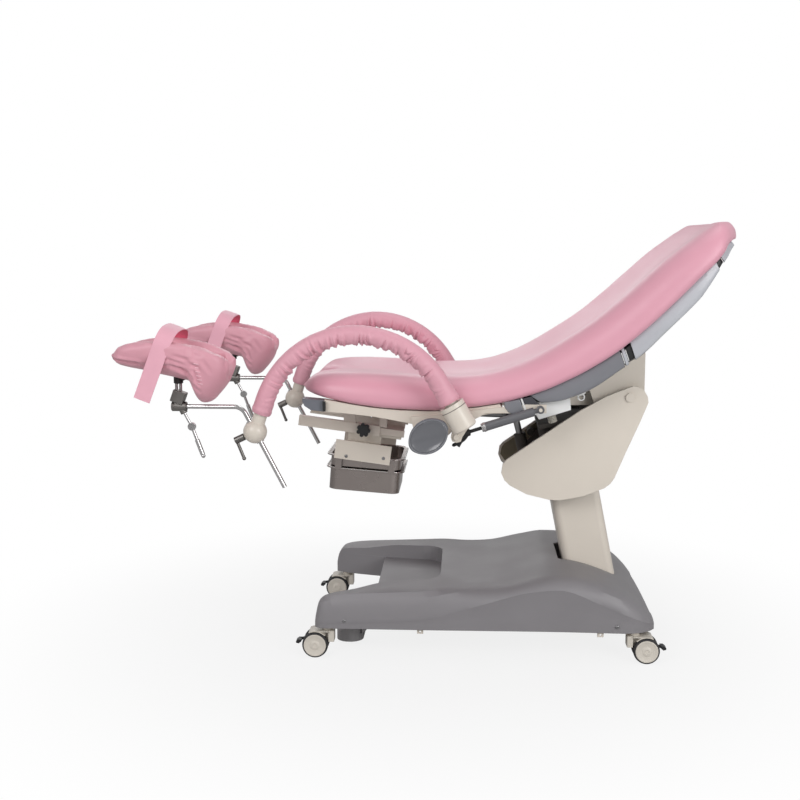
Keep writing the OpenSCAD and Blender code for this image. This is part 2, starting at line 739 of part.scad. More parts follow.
module leg_arm() {
    straight = [cos(arch_from), sin(arch_from)] * arch_r + arch_centre;
    socket_low = socket_top - [-cos(socket_angle), sin(socket_angle)] * socket_l;
    color(cream) difference() {
        union() {
            arch_bar(arm_d) cylinder(d = arm_d, h = 90);
            strut(socket_top - [-cos(socket_angle), sin(socket_angle)] * 2, leg_y,
                angle_of(socket_top, straight), arm_d, 20);
            at(socket_low, leg_y) rotate([0, socket_angle - 90, 0]) {
                cylinder(d1 = socket_d - 7, d2 = socket_d, h = 4);
                translate([0, 0, 4]) cylinder(d = socket_d, h = socket_l - 4);
            }
            at(ball_at, leg_y) sphere(d = ball_d);
            across(333, 345) polygon([[52, 655], [56, 643], [68, 639], [80, 643], [84, 655], [106, 690],
                [110, 712], [80, 740], [66, 716]]);
            crossbar(leg_axis, 16, 262, 345);
            crossbar(leg_axis, 26, 257, 262);
            crossbar(gas_front, 10, 303, 334);
            crossbar(gas_front, 17, 345, 350);
        }
        strut(ball_at + [cos(rod_angle), sin(rod_angle)] * -60, leg_y, rod_angle, bush_d + 2 * fit, 120);
        strut(ball_at, leg_y, lever_angle, 10 + 2 * fit, 60);
    }
}

module arm_sleeve() {
    color(sleeve_pink) difference() {
        arch_bar(sleeve_d) cylinder(d = sleeve_d, h = 44);
        arch_bar(arm_d + 0.6) cylinder(d = arm_d + 0.6, h = 60);
        strut(socket_top - [-cos(socket_angle), sin(socket_angle)] * 5, leg_y, 180 - socket_angle, 80, 5.5);
    }
}

module clamp_bush() {
    color(steel) difference() {
        strut(ball_at + [cos(rod_angle), sin(rod_angle)] * -33, leg_y, rod_angle, bush_d, 66);
        strut(ball_at + [cos(rod_angle), sin(rod_angle)] * -40, leg_y, rod_angle, rod_d + 2 * fit, 80);
    }
}

module clamp_lever() {
    hub = ball_at + [cos(lever_angle), sin(lever_angle)] * 34;
    cap = ball_at + [cos(lever_angle), sin(lever_angle)] * 58;
    tip = [-522, 594];
    color(dark) {
        strut(ball_at + [cos(lever_angle), sin(lever_angle)] * 12, leg_y, lever_angle, 10, 24);
        strut(hub, leg_y, lever_angle, 20, 28);
        strut(cap, leg_y, angle_of(cap, tip), 9, span(cap, tip));
        at(tip, leg_y) sphere(d = 11);
    }
}

module leg_rod() {
    low = ball_at - [cos(rod_angle), sin(rod_angle)] * 176;
    straight = (rod_level_z - low[1] - rod_bend_r * (1 + cos(rod_angle))) / sin(rod_angle);
    bend = low + [cos(rod_angle), sin(rod_angle)] * straight;
    centre = bend + [-sin(rod_angle), cos(rod_angle)] * rod_bend_r;
    color(steel) {
        strut(low, leg_y, rod_angle, rod_d, straight + 0.5);
        at(centre, leg_y) rotate([90, 0, 0]) rotate([0, 0, 90 - (180 - rod_angle)])
            rotate_extrude(angle = 180 - rod_angle) translate([rod_bend_r, 0])
                circle(d = rod_d - 0.1);
        at([block_x - 14, centre[1] + rod_bend_r], leg_y) rotate([0, 90, 0])
            cylinder(d = rod_d, h = centre[0] - block_x + 14.5);
    }
}

module clamp_block() {
    color(steel) difference() {
        union() {
            at([block_x - 20, rod_level_z], leg_y) rotate([0, 90, 0]) cylinder(d = 27, h = 42);
            translate([block_x - 17, leg_y - 17, rod_level_z + 8]) cube([34, 34, 38]);
            strut(screw_from, leg_y, screw_angle, 20, 18);
        }
        at([block_x - 30, rod_level_z], leg_y) rotate([0, 90, 0]) cylinder(d = rod_d + 2 * fit, h = 60);
        translate([block_x, leg_y, rod_level_z + 22]) cylinder(d = 14 + 2 * fit, h = 60);
        strut(screw_from, leg_y, screw_angle, 8 + 2 * fit, 40);
    }
}

module screw_handle() {
    along = [cos(screw_angle), sin(screw_angle)];
    eye = screw_from + along * 60;
    tip = [-637, 600];
    color(steel) {
        strut(screw_from + along * 14, leg_y, screw_angle, 8, 40);
        crossbar(eye, 22, leg_y - 5, leg_y + 5);
        strut(eye, leg_y, angle_of(eye, tip), 9, span(eye, tip));
        strut(mix(eye, tip, 0.45), leg_y, angle_of(eye, tip), 13, span(eye, tip) * 0.5);
        at(tip, leg_y) sphere(d = 12);
    }
}

module rest_bracket() {
    color(dark) {
        translate([block_x, leg_y, rod_level_z + 23]) cylinder(d = 14, h = 53);
        translate([block_x, leg_y, rod_level_z + 47]) cylinder(d = 26, h = 29);
        across(leg_y - 24, leg_y + 24) polygon([[-752, 826], [-752, 830.7], [-703, 823.1], [-680, 812.9],
            [-682, 808.5], [-704, 818]]);
    }
}

// Leg rest gutter: each station is [x, bottom z, top z, half width share, side height share]
gutter_stations = [[-876, 868, 892, 0.80], [-868, 858, 900, 0.90], [-845, 850, 908, 0.95],
    [-800, 839, 917, 0.98], [-751, 831, 922, 1.0], [-703, 823.5, 919, 1.0], [-668, 808, 913, 1.0],
    [-652, 782, 909, 0.97], [-636, 762, 905, 0.93], [-618, 760, 901, 0.92], [-592, 777, 893, 0.90],
    [-566, 800, 883, 0.84], [-550, 832, 872, 0.74]];

function gutter_ring(s) = let(
    half = gutter_half_w * s[3],
    deep = s[2] - s[1] - 12,
    wall = min(gutter_t, deep * 0.5),
    rim = s[2] - 12)
    ring_of(
        concat([[s[0], half - 0.4 * wall, s[2]]], [for (a = [0:15:80])
            [s[0], half * cos(a), rim - deep * pow(sin(a), 0.75)]],
            [[s[0], 1, rim - deep]]),
        concat([[s[0], half - 0.7 * wall, s[2] - 2]], [for (a = [0:15:80])
            [s[0], (half - wall) * cos(a), rim - (deep - wall) * pow(sin(a), 0.8)]],
            [[s[0], 1, rim - deep + wall]]));

module leg_pad() {
    color(vinyl_pink) translate([0, leg_y, 0]) loft([for (s = gutter_stations) gutter_ring(s)]);
}

// The strap leans with its top towards the knee. It goes from the tail on the outer side over the
// open top of the gutter to the inner side
module leg_strap() {
    function arch(grow) = [for (a = [0:12:180])
        [(gutter_half_w + 0.3 + grow) * cos(a), 47 + (50 + grow) * sin(a)]];
    color(sleeve_pink) translate([-760, leg_y, 868]) rotate([0, 15, 0]) translate([-strap_w / 2, 0, 0])
        rotate([90, 0, 90]) linear_extrude(strap_w) {
            polygon(concat(arch(2.5), [for (i = [15:-1:0]) arch(0)[i]]));
            translate([gutter_half_w + 0.3, -100]) square([2.5, 147.1]);
            translate([-gutter_half_w - 2.8, -2]) square([2.5, 49.1]);
        }
}

module gas_cylinder() {
    to = angle_of(gas_rear, gas_front);
    color(frame_grey) difference() {
        union() {
            strut(gas_rear + [cos(to), sin(to)] * 18, 318, to, gas_d, 147);
            strut(gas_rear + [cos(to), sin(to)] * 6, 318, to, 14, 14);
            crossbar(gas_rear, 22, 310, 326);
        }
        crossbar(gas_rear, 10 + 2 * fit, 300, 340);
        strut(gas_rear + [cos(to), sin(to)] * 30, 318, to, 10 + 2 * fit, 150);
    }
}

module gas_rod() {
    to = angle_of(gas_rear, gas_front);
    length = span(gas_rear, gas_front);
    head = gas_rear + [cos(to), sin(to)] * (length - 36);
    color(dark) difference() {
        union() {
            strut(gas_rear + [cos(to), sin(to)] * 60, 318, to, 10, length - 80);
            strut(head, 318, to, 16, 24);
            crossbar(gas_front, 26, 309, 327, 90);
            at(head + [cos(to), sin(to)] * 9, 318) rotate([0, 208, 0]) translate([-4, -4, 0]) cube([8, 8, 44]);
        }
        crossbar(gas_front, 16, 300, 340);
    }
}

module left_leg_arm() left_side() leg_arm();
module left_arm_sleeve() left_side() arm_sleeve();
module left_clamp_bush() left_side() clamp_bush();
module left_clamp_lever() left_side() clamp_lever();
module left_leg_rod() left_side() leg_rod();
module left_clamp_block() left_side() clamp_block();
module left_screw_handle() left_side() screw_handle();
module left_rest_bracket() left_side() rest_bracket();
module left_leg_pad() left_side() leg_pad();
module left_leg_strap() left_side() leg_strap();
module left_gas_cylinder() left_side() gas_cylinder();
module left_gas_rod() left_side() gas_rod();
module right_leg_arm() leg_arm();
module right_arm_sleeve() arm_sleeve();
module right_clamp_bush() clamp_bush();
module right_clamp_lever() clamp_lever();
module right_leg_rod() leg_rod();
module right_clamp_block() clamp_block();
module right_screw_handle() screw_handle();
module right_rest_bracket() rest_bracket();
module right_leg_pad() leg_pad();
module right_leg_strap() leg_strap();
module right_gas_cylinder() gas_cylinder();
module right_gas_rod() gas_rod();

base_frame();
base_cover();
lower_housing();
column_outer();
lift_screw();
front_left_fork();
front_left_wheel();
front_left_pedal();
front_right_fork();
front_right_wheel();
front_right_pedal();
rear_left_fork();
rear_left_wheel();
rear_left_pedal();
rear_right_fork();
rear_right_wheel();
rear_right_pedal();
lift_carriage();
side_plates();
tilt_pin();
seat_frame();
seat_pad();
pad_bend();
rear_shroud();
side_covers();
back_frame();
back_pad();
control_box();
basin_slider();
carrier_pan();
basin();
star_knob();
tilt_motor();
tilt_rod();
back_motor();
back_rod();
left_leg_arm();
left_arm_sleeve();
left_clamp_bush();
left_clamp_lever();
left_leg_rod();
left_clamp_block();
left_screw_handle();
left_rest_bracket();
left_leg_pad();
left_leg_strap();
left_gas_cylinder();
left_gas_rod();
right_leg_arm();
right_arm_sleeve();
right_clamp_bush();
right_clamp_lever();
right_leg_rod();
right_clamp_block();
right_screw_handle();
right_rest_bracket();
right_leg_pad();
right_leg_strap();
right_gas_cylinder();
right_gas_rod();
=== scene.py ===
"""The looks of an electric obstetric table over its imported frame: pads, straps, sleeves, covers,
finishes, stage and camera. Sizes are in millimetres in the tables here and in metres in the scene.
X runs from the foot end to the head end, Y to the patient's right, Z up from the floor."""

import math

import bmesh
import bpy
import numpy as np
from bpy.props import FloatProperty, FloatVectorProperty, PointerProperty
from mathutils import Matrix, Vector, noise


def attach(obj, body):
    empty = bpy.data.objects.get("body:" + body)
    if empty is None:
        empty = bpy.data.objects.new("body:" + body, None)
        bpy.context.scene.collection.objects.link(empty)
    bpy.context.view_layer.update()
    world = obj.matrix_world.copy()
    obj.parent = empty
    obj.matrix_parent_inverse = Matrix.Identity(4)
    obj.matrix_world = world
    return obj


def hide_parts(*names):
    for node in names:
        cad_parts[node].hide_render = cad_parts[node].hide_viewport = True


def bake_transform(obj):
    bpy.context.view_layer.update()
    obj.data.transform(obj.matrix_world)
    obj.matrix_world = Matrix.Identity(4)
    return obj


bl_info = {
    "name": "Obstetric Table",
    "version": (1, 0, 0),
    "blender": (4, 5, 0),
    "location": "View3D > Sidebar > Table",
    "description": "Builds the pads, covers, finishes and stage of an obstetric table",
    "category": "Add Mesh",
}

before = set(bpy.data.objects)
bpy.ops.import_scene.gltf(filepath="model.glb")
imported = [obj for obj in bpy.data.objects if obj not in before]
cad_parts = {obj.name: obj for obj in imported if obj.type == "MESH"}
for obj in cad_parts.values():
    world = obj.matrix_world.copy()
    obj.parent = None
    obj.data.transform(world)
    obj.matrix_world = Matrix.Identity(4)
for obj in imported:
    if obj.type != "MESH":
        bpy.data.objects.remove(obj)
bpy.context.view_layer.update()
# A millimetre and the least distance between points, in metres; frames of cloth; degrees; a colour
MM = 0.001
SAME_PLACE = 1e-6
CLOTH_FRAMES = 20
ALL_SMOOTH = 180
WHITE = (1, 1, 1, 1)
SIDES = (("left", -1), ("right", 1))

# The pad's stations: bottom x and z, top x and z, share of the half width, share of the hollow
PAD_STATIONS = [
    (-373, 780, -370, 790, 0.70, 0.0), (-362, 771, -356, 805, 0.80, 0.2),
    (-335, 761, -328, 819, 0.89, 0.4), (-290, 751, -283, 824, 0.95, 0.5),
    (-220, 739, -215, 825, 0.985, 0.6), (-120, 728, -116, 821, 1.0, 0.7),
    (0, 723, 4, 813, 1.0, 0.8), (110, 733, 100, 815.5, 1.0, 0.9), (208, 749, 174, 827, 1.0, 1.0),
    (219, 752, 250, 853, 1.0, 1.0), (300, 777, 278, 866, 1.0, 1.0), (360, 803, 318, 887, 1.0, 1.0),
    (430, 838, 380, 925, 1.0, 1.0), (510, 889, 449, 971, 1.0, 1.0),
    (590, 956, 522, 1031, 1.0, 1.0), (669, 1031, 600, 1102, 0.995, 1.0),
    (732, 1095, 672, 1165, 0.985, 1.0), (774, 1136, 720, 1201, 0.965, 0.85),
    (798, 1163, 762, 1230, 0.93, 0.45), (815, 1188, 796, 1248, 0.85, 0.25),
    (836, 1199, 822, 1249, 0.73, 0.12), (851, 1202, 846, 1236, 0.56, 0.04),
    (861, 1204, 860, 1225, 0.38, 0), (867, 1208, 867, 1218, 0.22, 0)]

# The back shell: half width, lower edge line, that line's distance from the station, width shares
SHELL_HALF_WIDTH = 292
SHELL_LOW = [(216, 724), (232, 711), (248, 709), (266, 717), (293, 742), (357, 751), (400, 765),
    (439, 782), (480, 808), (521, 838), (554, 861), (586, 886), (642, 942), (708, 1008), (739, 1042),
    (762, 1076), (788, 1116), (800, 1134), (814, 1153), (832, 1182)]
SHELL_OFFSET = [(220, 4), (250, 30), (272, 34), (300, 26), (340, 18), (746, 16), (775, 12), (824, 9)]
SHELL_WIDTH = [(627, 1), (693, 0.995), (724, 0.99), (746, 0.98), (776, 0.95), (804, 0.88), (824, 0.78)]

# The base cover: its ends, half width, lower edge and wall, and its lines along the table
COVER_FRONT, COVER_REAR = -337, 637
COVER_HALF_WIDTH = 322
COVER_LOW = 91
COVER_WALL = 4
TOP_LINE = [(COVER_FRONT, 130), (-333, 152), (-324, 172), (-306, 186), (-264, 194), (-190, 199),
    (-22, 205), (178, 213), (278, 233), (350, 247), (397, 247), (440, 239), (488, 224),
    (545, 200), (590, 172), (620, 143), (COVER_REAR, 120)]
CREASE_LINE = [(COVER_FRONT, 104), (-33, 120), (138, 166), (279, 206), (363, 214), (476, 175),
    (589, 127), (COVER_REAR, 106)]
PLAN_LINE = [(COVER_FRONT, 18), (-331, 9), (-318, 3), (-300, 0), (540, 0), (590, 10), (620, 30),
    (COVER_REAR, 52)]

# The footwell: its edge in plan, the round at its rear corner, its floor, and its lip at the front
FOOTWELL_PLAN = [(-420, 318), (-322, 268), (-300, 256), (-256, 241), (-169, 217), (-38, 195)]
FOOTWELL_CORNER = (-38, 135)
FOOTWELL_ROUND = 60
FOOTWELL_FLOOR = 158
FOOTWELL_LIP = -170

# The leg rest's stations: x, bottom z, top z, share of the half width; and the depth of its rim
REST_STATIONS = [(-866, 876, 894, 0.62), (-858, 871, 902, 0.80), (-845, 866, 909, 0.92),
    (-825, 861, 914, 0.97), (-800, 856, 918, 0.99), (-751, 844, 922, 1.0), (-703, 833, 921, 1.0),
    (-680, 828, 918, 1.0), (-663, 824, 916, 0.99), (-655, 817, 914, 0.98), (-649, 795, 912, 0.96),
    (-643, 772, 910, 0.94), (-632, 762, 907, 0.93), (-617, 765, 903, 0.92), (-596, 783, 896, 0.91),
    (-578, 802, 889, 0.86), (-566, 818, 881, 0.76), (-558, 832, 872, 0.60)]
RIM_DEPTH = 12

# The leg arm in the plane of its arch, and the ends and the least radius of its sleeve
ARM_Y = 370
ARCH_CENTRE = (-209, 675)
ARCH_RADIUS = 265
ARCH_FROM, ARCH_TO = 31, 161.5
SOCKET_TOP = (53.5, 749.5)
SOCKET_ANGLE = 59.6
BALL_AT = (-490, 670)
SLEEVE_START, SLEEVE_TAIL = 5.5, 44
ARM_CLEARANCE = 20.6

# Where the seat's notch, the straps and the small fittings sit
NOTCH_FRONT, NOTCH_REACH, NOTCH_HALF_WIDTH = -373, 190, 120
STRAP_AT, STRAP_LEAN = (-741, 868), 21
STRAP_SLACK = 8.0
CASTER_X = {"front": -337, "rear": 612}
CASTER_Y, CASTER_Z, CASTER_FACE = 286, 37.5, 29
POST_X = -702
PAN_AT, PAN_LEAN = (-207, 518), 4.4
OVAL_AT, OVAL_FACE_Y, OVAL_RIM_Y = (-9, 662), 371, 386.2
GAS_REAR, GAS_FRONT = (300.0, 730.0), (68.0, 655.0)
GAS_Y = 318
HINGE_AT = (212, 735)

# The camera: its place in metres, its angles in degrees and its lens in millimetres
CAMERA_AT = (0.088, -3.43, 1.156)
CAMERA_DOWN, CAMERA_TURN, CAMERA_LENS = 7.34, 3.28, 50.67


def shade(red, green, blue):
    """A colour written in 0 to 255 steps, in the linear values that Blender keeps."""
    steps = (c / 255 for c in (red, green, blue))
    return tuple(c / 12.92 if c <= 0.04045 else ((c + 0.055) / 1.055) ** 2.4 for c in steps)


# Curves and meshes


def through(keys, rows, places):
    """The rows at these places, on a smooth curve through the given ones that never overshoots."""
    keys, rows, places = (np.asarray(v, float) for v in (keys, rows, places))
    flat = rows.ndim == 1
    rows = rows.reshape(len(keys), -1)
    gap = np.diff(keys)[:, None]
    slope = np.diff(rows, axis=0) / gap
    product, total = slope[:-1] * slope[1:], slope[:-1] + slope[1:]
    lean = np.vstack([slope[:1], slope])
    lean[1:-1] = np.where(product > 0, 2 * product / np.where(total == 0, 1, total), 0)
    i = np.clip(np.searchsorted(keys, places, side="right") - 1, 0, len(keys) - 2)
    t, g = ((np.clip(places, keys[0], keys[-1]) - keys[i]) / gap[i, 0])[:, None], gap[i]
    made = ((1 + 2 * t) * (1 - t) ** 2 * rows[i] + t * (1 - t) ** 2 * g * lean[i]
        + t * t * (3 - 2 * t) * rows[i + 1] + t * t * (t - 1) * g * lean[i + 1])
    return made[:, 0] if flat else made


def lengths_along(points):
    """The distance along a line of points, at each of them."""
    return np.concatenate([[0], np.cumsum(np.linalg.norm(np.diff(points, axis=0), axis=1))])


def directions(line):
    """The direction of a line of points, at each of them."""
    ahead = np.gradient(line, axis=0)
    return ahead / np.linalg.norm(ahead, axis=1)[:, None]


def crowded(count, share):
    """Numbers from 0 to 1 that lie closer together towards both ends."""
    t = np.linspace(0, 1, count)
    return t - share * np.sin(2 * np.pi * t) / (2 * np.pi)


def points_at(line, places):
    """The points at these distances along a line of points."""
    along = lengths_along(line)
    return np.stack([np.interp(places, along, line[:, k]) for k in range(line.shape[1])], 1)


def rounded_line(points, step):
    """A smooth curve through points, as evenly spaced points."""
    points = np.asarray(points, float)
    along = lengths_along(points)
    fine = through(along, points, np.linspace(0, along[-1], len(points) * 12))
    length = lengths_along(fine)[-1]
    return points_at(fine, np.linspace(0, length, max(3, int(length / step) + 1)))


def leaned(a, b, lean, origin):
    """The x and z of a point [a, b] in a frame at an [x, z] origin that leans by some degrees."""
    c, s = math.cos(math.radians(lean)), math.sin(math.radians(lean))
    return origin[0] + a * c + b * s, origin[1] - a * s + b * c


def at_station(x, *chains):
    """Chains of [y, z] points as [x, y, z] points that share one x."""
    return [np.insert(chain, 0, x, axis=1) for chain in chains]


def skin_faces(rings, around):
    """The faces between closed rings of points, each with as many points as the next."""
    return [(i * around + j, i * around + (j + 1) % around,
        (i + 1) * around + (j + 1) % around, (i + 1) * around + j)
        for i in range(rings - 1) for j in range(around)]


def capped_faces(rings, around):
    """The faces of a skin with one flat face over each of its end rings."""
    last = (rings - 1) * around
    return skin_faces(rings, around) + [tuple(range(around))[::-1], tuple(range(last, last + around))]


def end_faces(rings, around):
    """Strips that close both ends of a skin whose rings are two chains of equal length."""
    faces, last = [], (rings - 1) * around
    for j in range(around // 2 - 1):
        k = around - 1 - j
        faces += [(j, k, k - 1, j + 1), (last + j, last + j + 1, last + k - 1, last + k)]
    return faces


def whole_ring(lower, upper):
    """A closed ring from the chains of its +Y half, both given from the side to the middle."""
    flip = np.array([1, -1, 1])
    return np.concatenate([lower * flip, lower[::-1], upper, (upper * flip)[::-1]])


def add_object(name, data):
    made = bpy.data.objects.new(name, data)
    bpy.context.scene.collection.objects.link(made)
    return made


def mesh_object(name, points, faces, material, smooth=35):
    """A new object from points in millimetres, with edges sharper than smooth degrees left sharp."""
    mesh = bpy.data.meshes.new(name)
    mesh.from_pydata((np.asarray(points, float) * MM).tolist(), [], faces)
    work = bmesh.new()
    work.from_mesh(mesh)
    bmesh.ops.remove_doubles(work, verts=work.verts, dist=SAME_PLACE)
    bmesh.ops.recalc_face_normals(work, faces=work.faces)
    work.to_mesh(mesh)
    work.free()
    for entry in material if isinstance(material, list) else [material]:
        mesh.materials.append(entry)
    mesh.shade_smooth()
    if smooth < ALL_SMOOTH:
        mesh.set_sharp_from_angle(angle=math.radians(smooth))
    return add_object(name, mesh)


def skinned(name, rings, material, smooth=ALL_SMOOTH):
    """A closed piece over whole rings of two chains each."""
    count, around = len(rings), len(rings[0])
    faces = skin_faces(count, around) + end_faces(count, around)
    return mesh_object(name, np.concatenate(rings), faces, material, smooth)


def settle(piece):
    """Applies a piece's modifiers."""
    graph = bpy.context.evaluated_depsgraph_get()
    mesh = bpy.data.meshes.new_from_object(piece.evaluated_get(graph))
    piece.modifiers.clear()
    piece.data = mesh


def joined(name, parts):
    """Several objects as one."""
    work = bmesh.new()
    materials = []
    for part in parts:
        start = len(work.faces)
        work.from_mesh(part.data)
        work.faces.ensure_lookup_table()
        slots = list(part.data.materials)
        for face in work.faces[start:]:
            material = slots[min(face.material_index, len(slots) - 1)]
            if material not in materials:
                materials.append(material)
            face.material_index = materials.index(material)
        bpy.data.objects.remove(part)
    mesh = bpy.data.meshes.new(name)
    work.to_mesh(mesh)
    work.free()
    for material in materials:
        mesh.materials.append(material)
    return add_object(name, mesh)


def round_edges(piece, width):
    """Rounds a piece's sharp edges by width millimetres."""
    bevel = piece.modifiers.new("rounding", "BEVEL")
    bevel.width, bevel.segments, bevel.limit_method = width * MM, 2, "ANGLE"
    bevel.angle_limit = math.radians(40)
    bevel.harden_normals = True
    settle(piece)


def prism(name, outline, low, high, material, bevel=0.0, across=True):
    """A prism between low and high: along Y from an [x, z] outline, or else along Z from [x, y]."""
    outline = np.asarray(outline, float)
    points = np.concatenate([np.insert(outline, 1 if across else 2, h, axis=1) for h in (low, high)])
    made = mesh_object(name, points, capped_faces(2, len(outline)), material)
    if bevel:
        round_edges(made, bevel)
    return made


def side_prism(name, outline, sign, inner, outer, material, bevel=0.0):
    """A prism on one side of the table, between two distances from its middle plane."""
    return prism(name, outline, *sorted((sign * inner, sign * outer)), material, bevel)


def lathe(name, profile, origin, axis, material, steps=48):
    """A turned piece: the profile is [radius, height along the axis] from the origin."""
    turn = Vector(axis).to_track_quat("Z", "Y").to_matrix()
    points = []
    for radius, height in profile:
        for k in range(steps):
            a = 2 * math.pi * k / steps
            local = Vector((radius * math.cos(a), radius * math.sin(a), height))
            points.append(tuple(Vector(origin) + turn @ local))
    return mesh_object(name, points, capped_faces(len(profile), steps), material)


def tube(name, path, radius, material, around=16):
    """A round rod along a line of points, its ends domed."""
    path = np.asarray(path, float)
    ahead = directions(path)
    side = np.cross(ahead[0], [0, 0, 1] if abs(ahead[0][2]) < 0.9 else [0, 1, 0])
    rings = []
    spots = [(0, -0.98, 0.2), (0, -0.7, 0.71)] + [(i, 0, 1) for i in range(len(path))]
    spots += [(-1, 0.7, 0.71), (-1, 0.98, 0.2)]
    angles = np.linspace(0, 2 * math.pi, around, endpoint=False)
    for i, push, share in spots:
        side = side - ahead[i] * np.dot(side, ahead[i])
        side /= np.linalg.norm(side)
        up = np.cross(ahead[i], side)
        ring = np.outer(np.cos(angles), side) + np.outer(np.sin(angles), up)
        rings.append(path[i] + ahead[i] * push * radius + ring * radius * share)
    return mesh_object(name, np.concatenate(rings), capped_faces(len(rings), around), material, 60)


def cut(piece, cutter):
    """Takes the cutter out of a piece and removes it."""
    action = piece.modifiers.new("cut", "BOOLEAN")
    action.operation, action.solver, action.object = "DIFFERENCE", "EXACT", cutter
    settle(piece)
    bpy.data.objects.remove(cutter)


def smoothstep(low, high, value):
    t = np.clip((value - low) / (high - low), 0, 1)
    return t * t * (3 - 2 * t)


def point_values(mesh, key):
    """A vector value of each of a mesh's points."""
    flat = np.empty(len(mesh.vertices) * 3)
    mesh.vertices.foreach_get(key, flat)
    return flat.reshape(-1, 3)


def corners_of(piece):
    """A mesh's points in millimetres."""
    return point_values(piece.data, "co") / MM


def facings_of(piece):
    """The outward directions at a mesh's points."""
    return point_values(piece.data, "normal")


def set_corners(piece, points):
    piece.data.vertices.foreach_set("co", (points * MM).ravel())
    piece.data.update()


def waves(points, size, seed):
    """Smooth noise from -1 to 1 at each point, with waves about size millimetres long."""
    shift = Vector((seed * 17.3, seed * 7.1, seed * 3.7))
    return np.array([noise.noise(Vector(p) / size + shift) for p in points]) * 1.6


def puff(piece, voxel, pressure, reach):
    """Swells a closed cushion with cloth under pressure, by reach millimetres at most."""
    remesh = piece.modifiers.new("even_skin", "REMESH")
    remesh.mode, remesh.voxel_size = "VOXEL", voxel * MM
    settle(piece)
    rest = corners_of(piece)
    scene = bpy.context.scene
    cloth = piece.modifiers.new("cloth", "CLOTH")
    cloth.settings.use_pressure = True
    cloth.settings.uniform_pressure_force = pressure
    cloth.settings.effector_weights.gravity = 0
    cloth.settings.quality = 4
    cloth.point_cache.frame_start, cloth.point_cache.frame_end = 1, CLOTH_FRAMES
    for moment in range(1, CLOTH_FRAMES + 1):
        scene.frame_set(moment)
    graph = bpy.context.evaluated_depsgraph_get()
    swollen = bpy.data.meshes.new_from_object(piece.evaluated_get(graph))
    move = point_values(swollen, "co") / MM - rest
    piece.modifiers.clear()
    bpy.data.meshes.remove(swollen)
    scene.frame_set(1)
    far = np.linalg.norm(move, axis=1)
    scale = np.minimum(1, reach / np.maximum(far, 1e-6))
    set_corners(piece, rest + move * scale[:, None])
    finer = piece.modifiers.new("finer", "SUBSURF")
    finer.levels = finer.render_levels = 1
    settle(piece)
    piece.data.shade_smooth()


# Shader effects, each a node group that several finishes share


def node(tree, kind, settings=None, values=None):
    made = tree.nodes.new(kind)
    for key, value in (settings or {}).items():
        setattr(made, key, value)
    for key, value in (values or {}).items():
        made.inputs[key].default_value = value
    return made


def maths(tree, operation, *values):
    """The outcome of a maths node, each of its values a socket or a number."""
    made = node(tree, "ShaderNodeMath", {"operation": operation})
    for target, value in zip(made.inputs, values):
        if isinstance(value, float):
            target.default_value = value
        else:
            tree.links.new(value, target)
    return made.outputs[0]


def spread(tree, value, low, high):
    """A value's range from low to high, spread from 0 to 1."""
    made = node(tree, "ShaderNodeMapRange", None, {"From Min": low, "From Max": high})
    tree.links.new(value, made.inputs["Value"])
    return made.outputs[0]


def effect(name, inputs, outputs):
    """An empty shader node group with these float inputs and these outputs."""
    group = bpy.data.node_groups.new(name, "ShaderNodeTree")
    for label, default in inputs.items():
        socket = group.interface.new_socket(label, in_out="INPUT", socket_type="NodeSocketFloat")
        socket.default_value = default
    for label in outputs:
        kind = "NodeSocketVector" if label == "Normal" else "NodeSocketFloat"
        group.interface.new_socket(label, in_out="OUTPUT", socket_type=kind)
    start, end = node(group, "NodeGroupInput"), node(group, "NodeGroupOutput")
    return group, start.outputs, end.inputs


def scaled_place(group, scale, stretch=(1, 1, 1)):
    """The object's own coordinates times a scale socket, stretched along the axes."""
    place = node(group, "ShaderNodeTexCoord")
    stretched = node(group, "ShaderNodeVectorMath", {"operation": "MULTIPLY"}, {1: stretch})
    sized = node(group, "ShaderNodeVectorMath", {"operation": "SCALE"})
    group.links.new(place.outputs["Object"], stretched.inputs[0])
    group.links.new(stretched.outputs[0], sized.inputs[0])
    group.links.new(scale, sized.inputs["Scale"])
    return sized.outputs[0]


def clouds(group, scale, detail, roughness=0.5, stretch=(1, 1, 1)):
    """Noise over the scaled coordinates."""
    made = node(group, "ShaderNodeTexNoise", None,
        {"Scale": 1.0, "Detail": detail, "Roughness": roughness})
    group.links.new(scaled_place(group, scale, stretch), made.inputs["Vector"])
    return made.outputs[0]


def edge_effect():
    """Rounded edges: a normal that turns over every sharp edge, and a mask of rubbed edges."""
    group, start, end = effect("Rubbed Edges", {"Radius": 0.0015, "Scale": 60.0, "Amount": 0.5},
        ("Normal", "Mask"))
    bevel = node(group, "ShaderNodeBevel", {"samples": 4})
    surface = node(group, "ShaderNodeNewGeometry")
    match = node(group, "ShaderNodeVectorMath", {"operation": "DOT_PRODUCT"})
    link = group.links.new
    link(start["Radius"], bevel.inputs["Radius"])
    link(bevel.outputs[0], match.inputs[0])
    link(surface.outputs["Normal"], match.inputs[1])
    link(bevel.outputs[0], end["Normal"])
    edge = spread(group, match.outputs["Value"], 0.995, 0.86)
    worn = spread(group, clouds(group, start["Scale"], 4.0), 0.42, 0.62)
    both = maths(group, "MULTIPLY", edge, worn)
    link(maths(group, "MULTIPLY", both, start["Amount"]), end["Mask"])
    return group


def grain_effect():
    """Fine moulded or sprayed grain, with slower patches for roughness and tone."""
    group, start, end = effect("Fine Grain", {"Scale": 400.0, "Patch Scale": 9.0},
        ("Height", "Patches"))
    slow = clouds(group, start["Patch Scale"], 5.0, 0.6)
    group.links.new(clouds(group, start["Scale"], 3.0, 0.6), end["Height"])
    group.links.new(spread(group, slow, 0.3, 0.7), end["Patches"])
    return group


